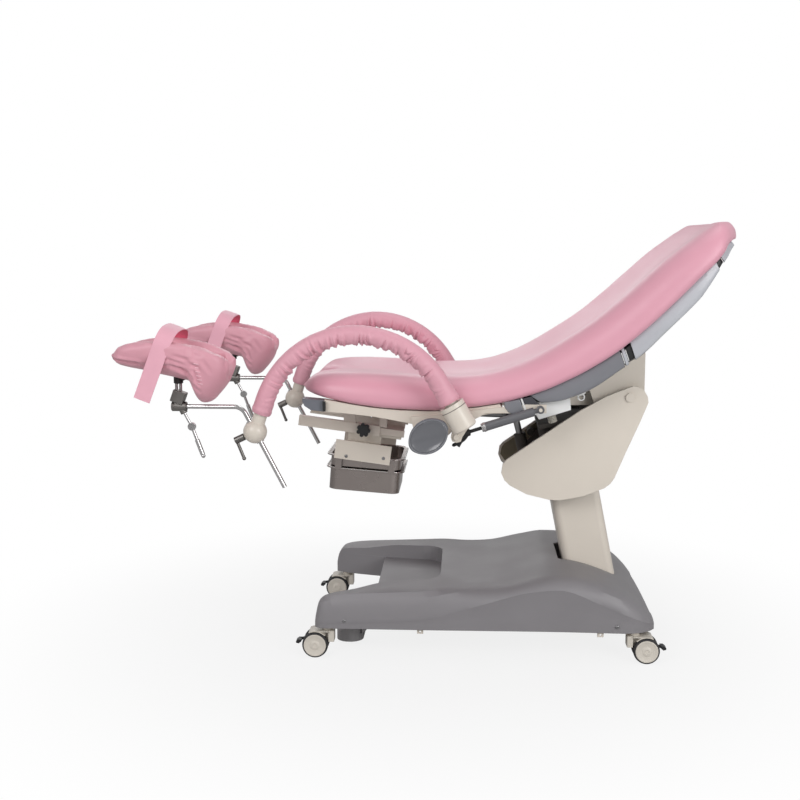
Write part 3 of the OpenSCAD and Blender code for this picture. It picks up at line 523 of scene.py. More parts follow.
def vinyl_effect():
    """Coated upholstery: tiny pebbles between creases, with slow soft dents."""
    group, start, end = effect("Pebbled Vinyl",
        {"Scale": 700.0, "Dent Scale": 22.0, "Patch Scale": 7.0}, ("Height", "Patches"))
    cells = node(group, "ShaderNodeTexVoronoi", {"feature": "DISTANCE_TO_EDGE"}, {"Scale": 1.0})
    group.links.new(scaled_place(group, start["Scale"]), cells.inputs["Vector"])
    pebbles = spread(group, cells.outputs[0], 0.0, 0.22)
    dents = clouds(group, start["Dent Scale"], 2.0)
    slow = clouds(group, start["Patch Scale"], 4.0)
    group.links.new(maths(group, "MULTIPLY_ADD", dents, 9.0, pebbles), end["Height"])
    group.links.new(spread(group, slow, 0.3, 0.7), end["Patches"])
    return group


def brushed_effect(name, stretch):
    """Long fine lines of brushed or drawn metal, short across them and long along them."""
    group, start, end = effect(name, {"Scale": 900.0, "Smear Scale": 14.0}, ("Height", "Smears"))
    slow = clouds(group, start["Smear Scale"], 5.0)
    group.links.new(clouds(group, start["Scale"], 3.0, 0.7, stretch), end["Height"])
    group.links.new(spread(group, slow, 0.32, 0.68), end["Smears"])
    return group


def weave_effect():
    """Crossing threads of a strap, with uneven thread tone."""
    group, start, end = effect("Strap Weave", {"Scale": 800.0, "Patch Scale": 30.0},
        ("Height", "Patches"))
    place = scaled_place(group, start["Scale"])
    threads = []
    for direction in ("X", "Z"):
        wave = node(group, "ShaderNodeTexWave", {"wave_type": "BANDS", "bands_direction": direction},
            {"Scale": 0.3, "Distortion": 0.6, "Detail": 1.0})
        group.links.new(place, wave.inputs["Vector"])
        threads.append(wave.outputs[1])
    group.links.new(maths(group, "MULTIPLY", *threads), end["Height"])
    group.links.new(clouds(group, start["Patch Scale"], 4.0), end["Patches"])
    return group


EFFECTS = {}


def make_effects():
    EFFECTS.update(edges=edge_effect(), grain=grain_effect(), vinyl=vinyl_effect(),
        brushed=brushed_effect("Brushed Sheet", (0.04, 1, 1)),
        drawn=brushed_effect("Turned Rod", (1, 1, 0.2)), weave=weave_effect())


# The colour sockets of a Mix node: both colours that go in, and the one that comes out
COLOUR_A, COLOUR_B, COLOUR_OUT = 6, 7, 2


def bare_tree(holder):
    """The emptied node tree of a material or a world."""
    holder.use_nodes = True
    holder.node_tree.nodes.clear()
    return holder.node_tree


def finish(name, colour, grain, rough, tone=0.06, bump=0.1, depth=0.0002, edge=0.0015, wear=0.25,
        worn=None, sockets=None, metallic=0.0):
    """A material: a colour with slow patches of tone and roughness, grain as bump, and rubbed edges."""
    made = bpy.data.materials.new(name)
    made.diffuse_color = (*colour, 1)
    tree = bare_tree(made)
    surface = node(tree, "ShaderNodeBsdfPrincipled", None, {"Metallic": metallic, **(sockets or {})})
    end = node(tree, "ShaderNodeOutputMaterial")
    detail = node(tree, "ShaderNodeGroup", {"node_tree": EFFECTS[grain[0]]}, grain[1])
    edges = node(tree, "ShaderNodeGroup", {"node_tree": EFFECTS["edges"]},
        {"Radius": edge, "Amount": wear})
    dark = tuple(c * (1 - tone) for c in colour)
    light = tuple(min(1, c * (1 + tone)) for c in colour)
    bare = worn or tuple(min(1, c * 1.5 + 0.03) for c in colour)
    tones = node(tree, "ShaderNodeMix", {"data_type": "RGBA"},
        {COLOUR_A: (*dark, 1), COLOUR_B: (*light, 1)})
    rubbed = node(tree, "ShaderNodeMix", {"data_type": "RGBA"}, {COLOUR_B: (*bare, 1)})
    roughness = node(tree, "ShaderNodeMapRange", None, {"To Min": rough[0], "To Max": rough[1]})
    relief = node(tree, "ShaderNodeBump", None, {"Strength": bump, "Distance": depth})
    link = tree.links.new
    link(surface.outputs[0], end.inputs[0])
    link(detail.outputs[1], tones.inputs[0])
    link(tones.outputs[COLOUR_OUT], rubbed.inputs[COLOUR_A])
    link(edges.outputs["Mask"], rubbed.inputs[0])
    link(rubbed.outputs[COLOUR_OUT], surface.inputs["Base Color"])
    link(detail.outputs[1], roughness.inputs["Value"])
    link(roughness.outputs[0], surface.inputs["Roughness"])
    link(detail.outputs[0], relief.inputs["Height"])
    link(edges.outputs["Normal"], relief.inputs["Normal"])
    link(relief.outputs[0], surface.inputs["Normal"])
    return made


MATERIALS = {}


def vinyl(dent_scale):
    """The vinyl effect and its values, for dents of this scale."""
    return "vinyl", {"Scale": 700.0, "Dent Scale": dent_scale, "Patch Scale": 6.0}


def make_materials(colours):
    """Every finish of the table."""
    coat = {"Coat Weight": 0.25, "Coat Roughness": 0.25}
    low_coat = {"Coat Weight": 0.08, "Coat Roughness": 0.4}
    woven = {"Sheen Weight": 0.3, "Sheen Roughness": 0.5}
    soft = {"Coat Weight": 0.1, "Coat Roughness": 0.35, "Sheen Weight": 0.12, "Sheen Roughness": 0.5}
    paint = ("grain", {"Scale": 350.0, "Patch Scale": 6.0})
    plastic = ("grain", {"Scale": 900.0, "Patch Scale": 8.0})
    weave = ("weave", {"Scale": 900.0})
    brushed, drawn = ((kind, {"Scale": 1200.0, "Smear Scale": 12.0}) for kind in ("brushed", "drawn"))
    MATERIALS.update(
        pad=finish("pad_vinyl", colours.pad, vinyl(20.0), (0.34, 0.46), tone=0.025, bump=0.12,
            depth=0.0004, edge=0.002, wear=0.0, sockets=soft),
        # The rest and sleeve vinyl is the pad's pink, with its colour darkened a little as painted
        # shade.
        rest=finish("rest_vinyl", colours.rest, vinyl(30.0), (0.36, 0.48), tone=0.03, bump=0.16,
            depth=0.0005, wear=0.0, sockets=soft),
        sleeve=finish("sleeve_vinyl", colours.sleeve, vinyl(60.0), (0.42, 0.55), tone=0.04, bump=0.2,
            depth=0.0005, edge=0.001, wear=0.0, sockets=soft),
        strap=finish("strap_web", colours.strap, weave, (0.6, 0.75), tone=0.05, bump=0.3,
            depth=0.0003, edge=0.0008, wear=0.0, sockets=woven),
        # The strap's inner face in a deeper, darker pink: painted shade.
        strap_back=finish("strap_web_painted_shade", shade(226, 104, 132), weave, (0.7, 0.85), tone=0.08,
            bump=0.4, depth=0.0004, edge=0.0008, wear=0.0, sockets=woven),
        stitch=finish("stitch_thread", shade(248, 206, 216), plastic, (0.5, 0.6), tone=0.05),
        cream=finish("cream_paint", colours.cream, paint, (0.32, 0.46), tone=0.02, wear=0.2,
            worn=shade(234, 230, 222), sockets=coat),
        cover=finish("cover_grey", colours.cover, plastic, (0.42, 0.56), tone=0.03, bump=0.12,
            edge=0.002, worn=shade(160, 158, 161), sockets=low_coat),
        back=finish("back_grey", colours.shell, plastic, (0.32, 0.46), tone=0.03, edge=0.002,
            wear=0.3, worn=shade(172, 173, 178), sockets=coat),
        back_light=finish("back_grey_light", shade(186, 188, 194), plastic, (0.28, 0.4), tone=0.04,
            edge=0.002, wear=0.3, worn=shade(214, 216, 220), sockets=coat),
        dish=finish("oval_dish", shade(104, 105, 110), plastic, (0.14, 0.22), tone=0.03, sockets=coat),
        # A dark grey that paints the shade in the hinge blocks' recesses.
        dark=finish("recess_painted_shade", shade(66, 66, 72), plastic, (0.3, 0.5), tone=0.1),
        oval=finish("oval_grey", shade(110, 113, 121), plastic, (0.3, 0.42), tone=0.04, wear=0.4,
            worn=shade(170, 172, 178), sockets=coat),
        # A lighter grey than the base cover, painted light on the housing, which sits in the cover's
        # shadow.
        housing=finish("shell_grey", shade(152, 150, 152), plastic, (0.4, 0.55), tone=0.04),
        lever=finish("gas_grey", shade(98, 98, 102), paint, (0.3, 0.42), tone=0.04, sockets=coat),
        box=finish("box_white", shade(232, 232, 231), plastic, (0.35, 0.5), tone=0.02,
            worn=shade(244, 244, 244)),
        # The olive sheet over the side plates' inner faces is painted shade.
        lining=finish("plate_lining", shade(122, 113, 92), paint, (0.5, 0.7), tone=0.1),
        clear=finish("plug_clear", shade(206, 202, 192), plastic, (0.2, 0.35), tone=0.05,
            sockets={"Transmission Weight": 0.35}),
        inside=finish("carriage_dark", shade(70, 65, 60), paint, (0.5, 0.7), tone=0.12),
        black=finish("black_plastic", shade(30, 30, 32), plastic, (0.35, 0.5), tone=0.12, bump=0.2,
            worn=shade(70, 70, 72)),
        bracket=finish("bracket_black", shade(34, 33, 34), paint, (0.4, 0.55), tone=0.12,
            worn=shade(96, 96, 98)),
        tyre=finish("wheel_black", shade(44, 43, 45), paint, (0.6, 0.8), tone=0.12, bump=0.3,
            worn=shade(92, 91, 91)),
        caster=finish("caster_beige", shade(214, 207, 196), plastic, (0.35, 0.5), tone=0.03,
            worn=shade(226, 220, 210), sockets=coat),
        steel=finish("pan_steel", shade(158, 149, 145), brushed, (0.22, 0.34), tone=0.04, bump=0.04,
            depth=0.00005, worn=shade(226, 228, 230), metallic=1.0),
        # The rims' pale steel is the pans' steel lightened: a painted highlight.
        bright=finish("pan_rim_painted_highlight", shade(236, 234, 232), drawn, (0.12, 0.25), tone=0.05,
            bump=0.06, depth=0.0001, worn=shade(236, 236, 238), metallic=1.0),
        chrome=finish("chrome_trim", shade(196, 194, 194), drawn, (0.12, 0.24), tone=0.05,
            bump=0.06, depth=0.0001, worn=shade(236, 236, 238), metallic=1.0),
        rod=finish("screw_steel", shade(140, 139, 140), drawn, (0.25, 0.42), tone=0.08,
            depth=0.0001, worn=shade(206, 206, 208), metallic=1.0),
        block=finish("block_steel", shade(124, 121, 118), drawn, (0.36, 0.52), tone=0.1, bump=0.25,
            worn=shade(196, 195, 194), metallic=1.0),
    )


FINISH_OF = {
    "cream": ["base_frame", "column_outer", "side_plates", "seat_frame", "rear_shroud",
        "basin_slider", "tilt_pin"],
    "housing": ["lower_housing"],
    "rod": ["lift_screw", "tilt_rod", "back_rod"],
    "inside": ["lift_carriage", "tilt_motor", "back_motor"],
    "black": ["star_knob"],
    "box": ["control_box"],
    "oval": ["side_covers"],
    "steel": ["carrier_pan", "basin"],
}
FINISH_OF_SIDE = {
    "cream": ["leg_arm"],
    "block": ["clamp_lever"],
    "lever": ["gas_cylinder"],
    "black": ["gas_rod"],
    "chrome": ["clamp_bush", "leg_rod", "screw_handle"],
}
FINISH_OF_CASTER = {"caster": ["fork"], "tyre": ["wheel"], "black": ["pedal"]}


def dress_frame():
    """Gives every CAD solid that stays in view its finish."""
    groups = [("", FINISH_OF)]
    for side, _ in SIDES:
        groups.append((f"{side}_", FINISH_OF_SIDE))
        groups += [(f"{end}_{side}_", FINISH_OF_CASTER) for end in CASTER_X]
    for start, finishes in groups:
        for kind, names in finishes.items():
            for name in names:
                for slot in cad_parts[start + name].material_slots:
                    slot.material = MATERIALS[kind]


# The one-piece pad


def pad_rows():
    """The pad's stations on a smooth curve, closer towards its ends, with a round close at each."""
    rows = np.array(PAD_STATIONS, float)
    along = lengths_along((rows[:, 0:2] + rows[:, 2:4]) / 2)
    made = through(along, rows, along[-1] * crowded(150, 0.7))
    for end, inner in ((0, 3), (-1, -4)):
        middle = (made[end, 0:2] + made[end, 2:4]) / 2
        out = middle - (made[inner, 0:2] + made[inner, 2:4]) / 2
        out /= np.linalg.norm(out)
        half = (made[end, 2:4] - made[end, 0:2]) / 2
        extra = []
        for push, share, narrow in ((2.0, 0.8, 0.006), (3.4, 0.45, 0.016), (4.0, 0.12, 0.03)):
            spot = middle + out * push
            extra.append([*(spot - half * share), *(spot + half * share),
                made[end, 4] - narrow, 0])
        made = np.vstack([extra[::-1], made]) if end == 0 else np.vstack([made, extra])
    return made


def pad_chains(row, sizes):
    """The lower and upper chains of the +Y half of one ring, as [x, y, z]."""
    low, high = row[0:2], row[2:4]
    half = sizes.pad_half_width / MM * row[4]
    deep = np.linalg.norm(high - low)
    foot, crown = min(20, deep * 0.4), min(78, deep * 0.9, half / 2)
    mid, flat = foot / deep, half - crown
    down, up = np.radians(np.linspace(0, -90, 13)), np.radians(np.linspace(7.5, 90, 12))
    inward_low, inward_high = np.linspace(0.94, 0.02, 8), np.linspace(0.9, 0.02, 9)
    lower = np.concatenate([
        np.stack([half - foot + foot * np.cos(down), mid + mid * np.sin(down)], 1),
        np.stack([(half - foot) * inward_low, np.zeros(8)], 1)])
    dip = np.sin(np.clip(1 - inward_high / 0.97, 0, 1) * np.pi / 2) ** 1.4
    hollow = sizes.pad_hollow * row[5]
    upper = np.concatenate([
        np.stack([flat + crown * np.cos(up), mid + (1 - mid) * np.sin(up) ** 0.92], 1),
        np.stack([flat * inward_high, 1 - hollow * dip], 1)])
    near = max(0, 1 - (row[0] - NOTCH_FRONT) / NOTCH_REACH)
    chains = []
    for chain in (lower, upper):
        y, v = chain[:, 0], chain[:, 1:2]
        bite = sizes.notch_depth / MM * (1 + np.cos(np.pi * y / NOTCH_HALF_WIDTH)) / 2
        bite = np.where(y < NOTCH_HALF_WIDTH, bite, 0)
        place = low + (high - low) * v
        chains.append(np.stack([place[:, 0] + bite * near, y, place[:, 1]], 1))
    return chains


def make_body_pad(sizes):
    rings = [whole_ring(*pad_chains(row, sizes)) for row in pad_rows()]
    pad = skinned("one_piece_pad", rings, MATERIALS["pad"])
    points = corners_of(pad)
    softness = 0.9 * waves(points, 150, 1) + 0.35 * waves(points, 55, 2)
    set_corners(pad, points + facings_of(pad) * softness[:, None] * 0.9)
    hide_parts("seat_pad", "pad_bend", "back_pad")
    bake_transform(pad)


# The leg rests


def rest_chains(row, sizes):
    """The outer and inner chains of the +Y half of one ring of the gutter, from rim to middle."""
    x, low, top, share = row
    half = sizes.rest_half_width / MM * share
    rim = top - RIM_DEPTH
    deep = top - low - RIM_DEPTH
    wall = min(26, deep * 0.5)
    roll = np.radians(np.linspace(90, 12, 5))
    turn = np.radians(np.linspace(0, 88, 15))
    outer = np.concatenate([
        np.stack([half - wall / 2 + wall / 2 * np.cos(roll), rim + RIM_DEPTH * np.sin(roll)], 1),
        np.stack([half * np.cos(turn), rim - deep * np.sin(turn) ** 0.75], 1)])
    inner = np.concatenate([
        np.stack([half - wall / 2 - wall / 2 * np.cos(roll + 0.2),
            rim + RIM_DEPTH * np.sin(roll + 0.05)], 1),
        np.stack([(half - wall) * np.cos(turn), rim - (deep - wall) * np.sin(turn) ** 0.8], 1)])
    return at_station(x, outer, inner)


# Creases in a leg rest: both ends of each as x and z, its width and its depth
CREASES = [((-715, 880), (-668, 864), 5, 2.2), ((-705, 862), (-660, 842), 6, 3.0),
    ((-690, 886), (-648, 876), 5, 2.0), ((-676, 852), (-646, 822), 6, 3.2),
    ((-658, 872), (-626, 852), 5, 2.4), ((-640, 846), (-628, 808), 5, 2.6),
    ((-745, 866), (-712, 858), 5, 1.8), ((-800, 866), (-770, 858), 5, 1.6),
    ((-652, 812), (-630, 790), 5, 2.2), ((-612, 872), (-592, 842), 6, 1.4),
    ((-880, 877), (-796, 864), 5, 6.5)]


def crease(points, facings, lines):
    """Presses creases into both sides of a cushion along short lines in the side view."""
    side = smoothstep(0.35, 0.8, np.abs(facings[:, 1]))
    depth = np.zeros(len(points))
    flat = points[:, [0, 2]]
    for a, b, width, deep in lines:
        a, b = np.array(a, float), np.array(b, float)
        t = np.clip(((flat - a) @ (b - a)) / ((b - a) @ (b - a)), 0, 1)
        near = np.linalg.norm(flat - (a + t[:, None] * (b - a)), axis=1)
        fade = np.sin(np.pi * (0.08 + 0.84 * t)) ** 0.5
        fold = np.exp(-((near / width) ** 2)) - 0.45 * np.exp(-(((near - 1.9 * width) / width) ** 2))
        depth += deep * fade * fold
    return -(depth * side)


def make_rest_pad(sizes):
    """The padded gutter about the table's middle plane, swollen and creased."""
    rows = np.array(REST_STATIONS, float)
    places = np.concatenate([np.linspace(-866, -845, 6), np.linspace(-838, -675, 22),
        np.linspace(-670, -568, 30), [-563, -558]])
    rows = through(rows[:, 0], rows, places)
    chains = [rest_chains(row, sizes) for row in rows]
    rings = [whole_ring(*pair) for pair in chains]
    for end, out in ((0, -1), (-1, 1)):
        outer, inner = chains[end]
        middle = (outer + inner) / 2
        extra = []
        for push, share in ((3, 0.84), (5.5, 0.56), (7, 0.22)):
            pair = [middle + (chain - middle) * share + [out * push, 0, 0] for chain in (outer, inner)]
            extra.append(whole_ring(*pair))
        rings = extra[::-1] + rings if end == 0 else rings + extra
    pad = skinned("rest_form", rings, MATERIALS["rest"])
    set_corners(pad, corners_of(pad) - facings_of(pad) * 6.0)
    puff(pad, voxel=5, pressure=4.0, reach=7)
    points, facings = corners_of(pad), facings_of(pad)
    move = 1.5 * crease(points, facings, CREASES) + 0.5 * waves(points, 45, 5)
    set_corners(pad, points + facings * move[:, None])
    pad.data.shade_smooth()
    return pad


def make_leg_rests(sizes):
    """Both leg rests, mirrored, each with a short row of stitches on its outer side."""
    form = make_rest_pad(sizes)
    for side, sign in SIDES:
        mesh = form.data.copy()
        pad = add_object(f"{side}_rest_cushion", mesh)
        if sign < 0:
            mesh.transform(Matrix.Scale(-1, 4, (0, 1, 0)))
            mesh.flip_normals()
        mesh.transform(Matrix.Translation((0, sign * ARM_Y * MM, 0)))
        mesh.shade_smooth()
        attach(pad, f"{side}_rest")
        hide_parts(f"{side}_leg_pad")
        stitches = []
        for k in range(6):
            x, z = -630 + 1.5 * k, 866 - 11 * k
            ray = pad.ray_cast(Vector((x, sign * 600, z)) * MM, Vector((0, -sign, 0)))
            if not ray[0]:
                raise RuntimeError(f"no cushion under stitch {k} of the {side} rest")
            y = ray[1].y / MM
            path = [(x - 6, y - sign * 0.6, z + 0.8), (x, y + sign * 1.0, z),
                (x + 6, y - sign * 0.6, z - 0.8)]
            stitches.append(tube(f"stitch_{k}", rounded_line(path, 2), 1.1, MATERIALS["stitch"], 8))
        row = joined(f"{side}_rest_stitches", stitches)
        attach(row, f"{side}_rest")
    bpy.data.objects.remove(form)


def strap_line(half):
    """The strap's [y, z] line over a gutter: up the outer side, over the top, down the inner side."""
    profile = [(half + 1.2, -108), (half + 0.6, -50), (half, 0), (half, 30), (half * 0.995, 50),
        (half * 0.93, 70), (half * 0.78, 86), (half * 0.5, 96), (0, 99), (-half * 0.5, 95),
        (-half * 0.8, 82), (-half * 0.95, 64), (-half, 45), (-half - 0.3, 20), (-half - 0.2, -15),
        (-half + 0.6, -46)]
    return rounded_line(profile, 7)


def make_leg_straps(sizes):
    """Each strap: a tail down the outer side, a loop over the open gutter, and its inner end."""
    line = strap_line(sizes.rest_half_width / MM + STRAP_SLACK)
    width = sizes.strap_width / MM
    ahead = directions(line)
    out = np.stack([ahead[:, 1], -ahead[:, 0]], 1)
    out *= np.where((out * line).sum(1) < 0, -1, 1)[:, None]
    shares = np.linspace(-0.5, 0.5, 9)
    across, thick = [], 1.1
    for k, share in enumerate(shares):
        sag = 0.7 * math.cos(math.pi * share)
        across.append((share * width, sag, thick * (0.75 if k in (0, 8) else 1.0)))
    count, around = len(across), 2 * len(across)
    for side, sign in SIDES:
        rings = []
        for i, (place, way) in enumerate(zip(line, out)):
            twist = 1.2 * math.sin(i * 0.21 + 0.6)
            lower = [(x, place + way * (sag - t + twist * x / width)) for x, sag, t in across]
            upper = [(x, place + way * (sag + t + twist * x / width)) for x, sag, t in across[::-1]]
            for x, (y, z) in lower + upper:
                x, z = leaned(x, z, STRAP_LEAN, STRAP_AT)
                rings.append((x, sign * (ARM_Y + y), z))
        faces = skin_faces(len(line), around)
        last = (len(line) - 1) * around
        for start in (0, last):
            faces += [(start + j, start + j + 1, start + around - 2 - j, start + around - 1 - j)
                for j in range(count - 1)]
        # The faces on the loop's inner side take the darker copy of the weave, painted shade.
        both = [MATERIALS["strap"], MATERIALS["strap_back"]]
        strap = mesh_object(f"{side}_strap", rings, faces, both, 60)
        for face in strap.data.polygons:
            ids = [v % around for v in face.vertices]
            face.material_index = 1 if max(ids) < count else 0
        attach(strap, f"{side}_rest")
        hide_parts(f"{side}_leg_strap")


# The arm sleeves


def arm_line(step):
    """The arm's middle line under the sleeve as [x, z] points, and their distances along it."""
    centre = np.array(ARCH_CENTRE, float)
    angles = np.radians(np.arange(ARCH_FROM, ARCH_TO + 0.1, 1.0))
    arc = centre + ARCH_RADIUS * np.stack([np.cos(angles), np.sin(angles)], 1)
    tail = np.array(BALL_AT, float) - arc[-1]
    tail = arc[-1] + tail / np.linalg.norm(tail) * SLEEVE_TAIL
    points = np.vstack([SOCKET_TOP, arc, tail])
    places = np.arange(SLEEVE_START, lengths_along(points)[-1], step)
    return points_at(points, places), places - SLEEVE_START


def gathers(s, total, angles, inner_side, sign):
    """How far the sleeve's cloth stands off its plain tube all round, at s along the arm."""
    gathered = 0.85 * smoothstep(35, 120, s) + 0.15
    gathered *= 0.2 + 0.8 * smoothstep(40, 160, total - s)
    drift = s + 16 * noise.noise(Vector((s / 48, 0.3, sign)))
    drift += 5 * noise.noise(Vector((s / 17, 4, sign)))
    size = max(0.35, 0.9 + 1.4 * noise.noise(Vector((s / 34, 9, sign))))
    slant = 1.3 * noise.noise(Vector((s / 40, 6, 2 * sign)))
    seed = Vector((0, 0, 5.0 * sign))
    swell = []
    for a, share in zip(angles, inner_side):
        off = (a - math.pi) * sign
        turn = (drift / 26 + slant * off) % 1.0
        fold = min(1.0, turn / 0.24) * (1 - turn) ** 0.7 - 0.42
        small = abs(math.sin(math.pi * (drift / 10.5 + 1.6 * slant * off))) ** 0.7 - 0.62
        soft = noise.noise(Vector((s / 22, 1.1 * math.cos(a), 1.1 * math.sin(a))) + seed)
        strength = gathered * (0.07 + 0.93 * share)
        swell.append(strength * (size * (10.0 * fold + 2.4 * small) + 2.8 * soft))
    return np.array(swell)


def make_arm_sleeves(sizes):
    """A gathered sleeve along each arm, smooth outside the bend and ruffled inside it."""
    line, along = arm_line(1.6)
    total = along[-1]
    ahead = directions(line)
    outward = line - np.array(ARCH_CENTRE, float)
    outward -= ahead * (outward * ahead).sum(1)[:, None]
    outward /= np.linalg.norm(outward, axis=1)[:, None]
    around = 64
    angles = np.linspace(0, 2 * np.pi, around, endpoint=False)
    inner_side = smoothstep(-0.55, 0.6, -np.cos(angles))
    base = sizes.sleeve_width / MM / 2
    flare = 4.5 * np.exp(-along / 60) + 1.0 * np.exp(-(total - along) / 40)
    for side, sign in SIDES:
        rings = []
        for i, s in enumerate(along):
            plain = base + flare[i] + 0.5 * math.sin(s / 47 + sign)
            close = min(s, total - s)
            hem = 1.2 * math.exp(-((close - 12) / 5) ** 2) - 2.5 * math.exp(-(close / 4) ** 2)
            radius = plain + gathers(s, total, angles, inner_side, sign) + hem
            radius = np.maximum(radius, ARM_CLEARANCE)
            place = np.outer(radius * np.cos(angles), outward[i])
            rings.append(np.stack([line[i, 0] + place[:, 0], sign * ARM_Y + radius * np.sin(angles),
                line[i, 1] + place[:, 1]], 1))
        sleeve = mesh_object(f"{side}_gathered_sleeve", np.concatenate(rings),
            skin_faces(len(rings), around), MATERIALS["sleeve"], ALL_SMOOTH)
        thickness = sleeve.modifiers.new("cloth_thickness", "SOLIDIFY")
        thickness.thickness, thickness.offset = 1.0 * MM, -1
        settle(sleeve)
        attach(sleeve, f"{side}_leg")
        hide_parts(f"{side}_arm_sleeve")


# The back shell

# Each chain's points: how far in from the shell's side, and the share of the way up to the pad
SHELL_UNDER = [(0.0, 0.42), (0.6, 0.2), (3, 0.06), (8, 0.0), (30, 0.0), (46, 0.06), (52, 0.3),
    (58, 0.56), (70, 0.6), (SHELL_HALF_WIDTH, 0.6)]
SHELL_OVER = [(0.0, 0.7), (0.6, 0.93), (3, 1.0), (8, 1.0), (30, 1.0), (46, 1.0), (52, 1.0),
    (58, 1.0), (70, 1.0), (SHELL_HALF_WIDTH, 1.0)]


def shell_chains(x):
    """The lower and upper chains of the +Y half of the shell's ring at x, from the side inwards."""
    low_x = x + np.interp(x, *zip(*SHELL_OFFSET))
    low_z = through(*zip(*SHELL_LOW), [low_x])[0]
    stations = np.array(PAD_STATIONS, float)
    top_z = through(stations[:, 0], stations[:, 1], [x])[0] - 1.0
    half = SHELL_HALF_WIDTH * np.interp(x, *zip(*SHELL_WIDTH))
    return [np.array([(low_x + (x - low_x) * share, max(half - inset, 1.0),
        low_z + (top_z - low_z) * share) for inset, share in rows])
        for rows in (SHELL_UNDER, SHELL_OVER)]


def shade_core_ring(x):
    """A thinner, narrower ring of the shell, for the black core that paints the shade inside its gaps.
    """
    chains = shell_chains(x)
    middle = (chains[0] + chains[1]) / 2
    thin = [middle + (chain - middle) * 0.8 for chain in chains]
    for chain in thin:
        chain[:, 1] = np.maximum(chain[:, 1] - 6, 1.0)
    return whole_ring(*thin)


def make_back_shell():
    """The back's shell in its moulded lengths, with gaps between them over a black core painted as
    their shade, and the hinge behind it.
    """
    lengths = [(220, 244, "back"), (272, 517, "back"), (521, 528, "back_light"),
        (546, 775, "back_light"), (790, 826, "back_light")]
    parts = []
    for k, (start, stop, kind) in enumerate(lengths):
        places = np.linspace(start, stop, max(4, int((stop - start) / 8)))
        rings = [whole_ring(*shell_chains(x)) for x in places]
        parts.append(skinned(f"shell_{k}", rings, MATERIALS[kind], 40))
    # A black core inside the shell: painted shade seen through the gaps between its lengths.
    rings = [shade_core_ring(x) for x in np.linspace(224, 818, 60)]
    parts.append(skinned("shell_shade_core", rings, MATERIALS["black"], 40))
    for sign in (-1, 1):
        low, high = sorted((sign * 236, sign * 301.9))
        reach = high - low
        parts.append(lathe(f"pin_{sign}", [(6.2, 0), (7, 0.8), (7, reach - 0.8), (6.2, reach)],
            (HINGE_AT[0], low, HINGE_AT[1]), (0, 1, 0), MATERIALS["rod"], 32))
        parts.append(side_prism(f"lug_{sign}", [(203, 732), (212, 722), (250, 716), (250, 744),
            (212, 748)], sign, 236, 262, MATERIALS["back"], 1.5))
        for x in (519, 530, 788):
            lower, upper = shell_chains(x)
            a, b = lower[0] * [1, sign, 1], upper[0] * [1, sign, 1]
            a[1], b[1] = a[1] - sign * 2, b[1] - sign * 2
            span = b - a
            path = rounded_line([a - span * 0.75, a, b + span * 0.4], 4)
            parts.append(tube(f"bar_{sign}_{x}", path, 1.3, MATERIALS["box"], 10))
    for y in (36, 68):
        parts.append(prism(f"crank_{y}", [(208, 664), (212, 652), (234, 652), (262, 742), (226, 741)],
            y, y + 6, MATERIALS["back"], 1.0))
    parts.append(lathe("crank_pin", [(5, 0), (5, 38)], (222, 36, 663), (0, 1, 0), MATERIALS["rod"], 24))
    shell = joined("back_shell", parts)
    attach(shell, "back")
    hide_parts("back_frame")


# The base cover


def cover_chains(x, inset):
    """The lower and upper chains of the +Y half of the cover's ring at x, inset all round."""
    top = through(*zip(*TOP_LINE), [x])[0] - inset
    crease_z = min(through(*zip(*CREASE_LINE), [x])[0], top - 12)
    half = COVER_HALF_WIDTH - through(*zip(*PLAN_LINE), [x])[0] - inset
    low = COVER_LOW - (5 if inset else 0)
    middle, half_length = (COVER_FRONT + COVER_REAR) / 2, (COVER_REAR - COVER_FRONT) / 2
    end = middle + (x - middle) * (1 - inset / half_length)
    rise = top - crease_z
    dip = 15 * (1 - float(smoothstep(-270, -120, x)))
    side = [(0.25 * half, low), (0.6 * half, low), (0.9 * half, low),
        (half - 0.06 * (crease_z - low), low), (half - 0.03 * (crease_z - low), (low + crease_z) / 2),
        (half - 0.8, crease_z - 2), (half - 0.4, crease_z - 0.6)]
    soft = [(half, crease_z + 0.8), (half - 3, crease_z + 0.2 * rise),
        (half - 8, crease_z + 0.40 * rise), (half - 16, crease_z + 0.6 * rise),
        (half - 30, crease_z + 0.76 * rise), (half - 52, crease_z + 0.89 * rise),
        (0.72 * half, top - 4), (0.4 * half, top - 1.5), (0.1 * half, top)]
    steep = [(half, crease_z + 0.8), (half - 1, crease_z + 0.3 * rise),
        (half - 3.5, crease_z + 0.58 * rise), (half - 9, crease_z + 0.8 * rise),
        (half - 20, crease_z + 0.94 * rise), (half - 38, top - 1.5 - 0.35 * dip),
        (0.72 * half, top - 0.8 - dip), (0.4 * half, top - 0.4 - dip), (0.1 * half, top - dip)]
    share = float(smoothstep(35, 80, rise))
    shoulder = rounded_line(np.array(soft) * (1 - share) + np.array(steep) * share, 1)
    count = 16
    upper = points_at(shoulder, np.linspace(0, 1, count) ** 1.3 * lengths_along(shoulder)[-1])
    return at_station(end, rounded_chain(side[::-1], count), upper)


def rounded_chain(points, count):
    """A chain of count points that keeps every given one."""
    points = np.asarray(points, float)
    extra = count - len(points)
    last = points[-2:]
    between = [last[0] + (last[1] - last[0]) * k / (extra + 1) for k in range(1, extra + 1)]
    return np.vstack([points[:-1], between, points[-1:]])


def cover_solid(name, inset, material):
    """The cover's whole body, or with an inset the hollow inside it."""
    places = COVER_FRONT + (COVER_REAR - COVER_FRONT) * crowded(90, 0.75)
    return skinned(name, [whole_ring(*cover_chains(x, inset)) for x in places], material)


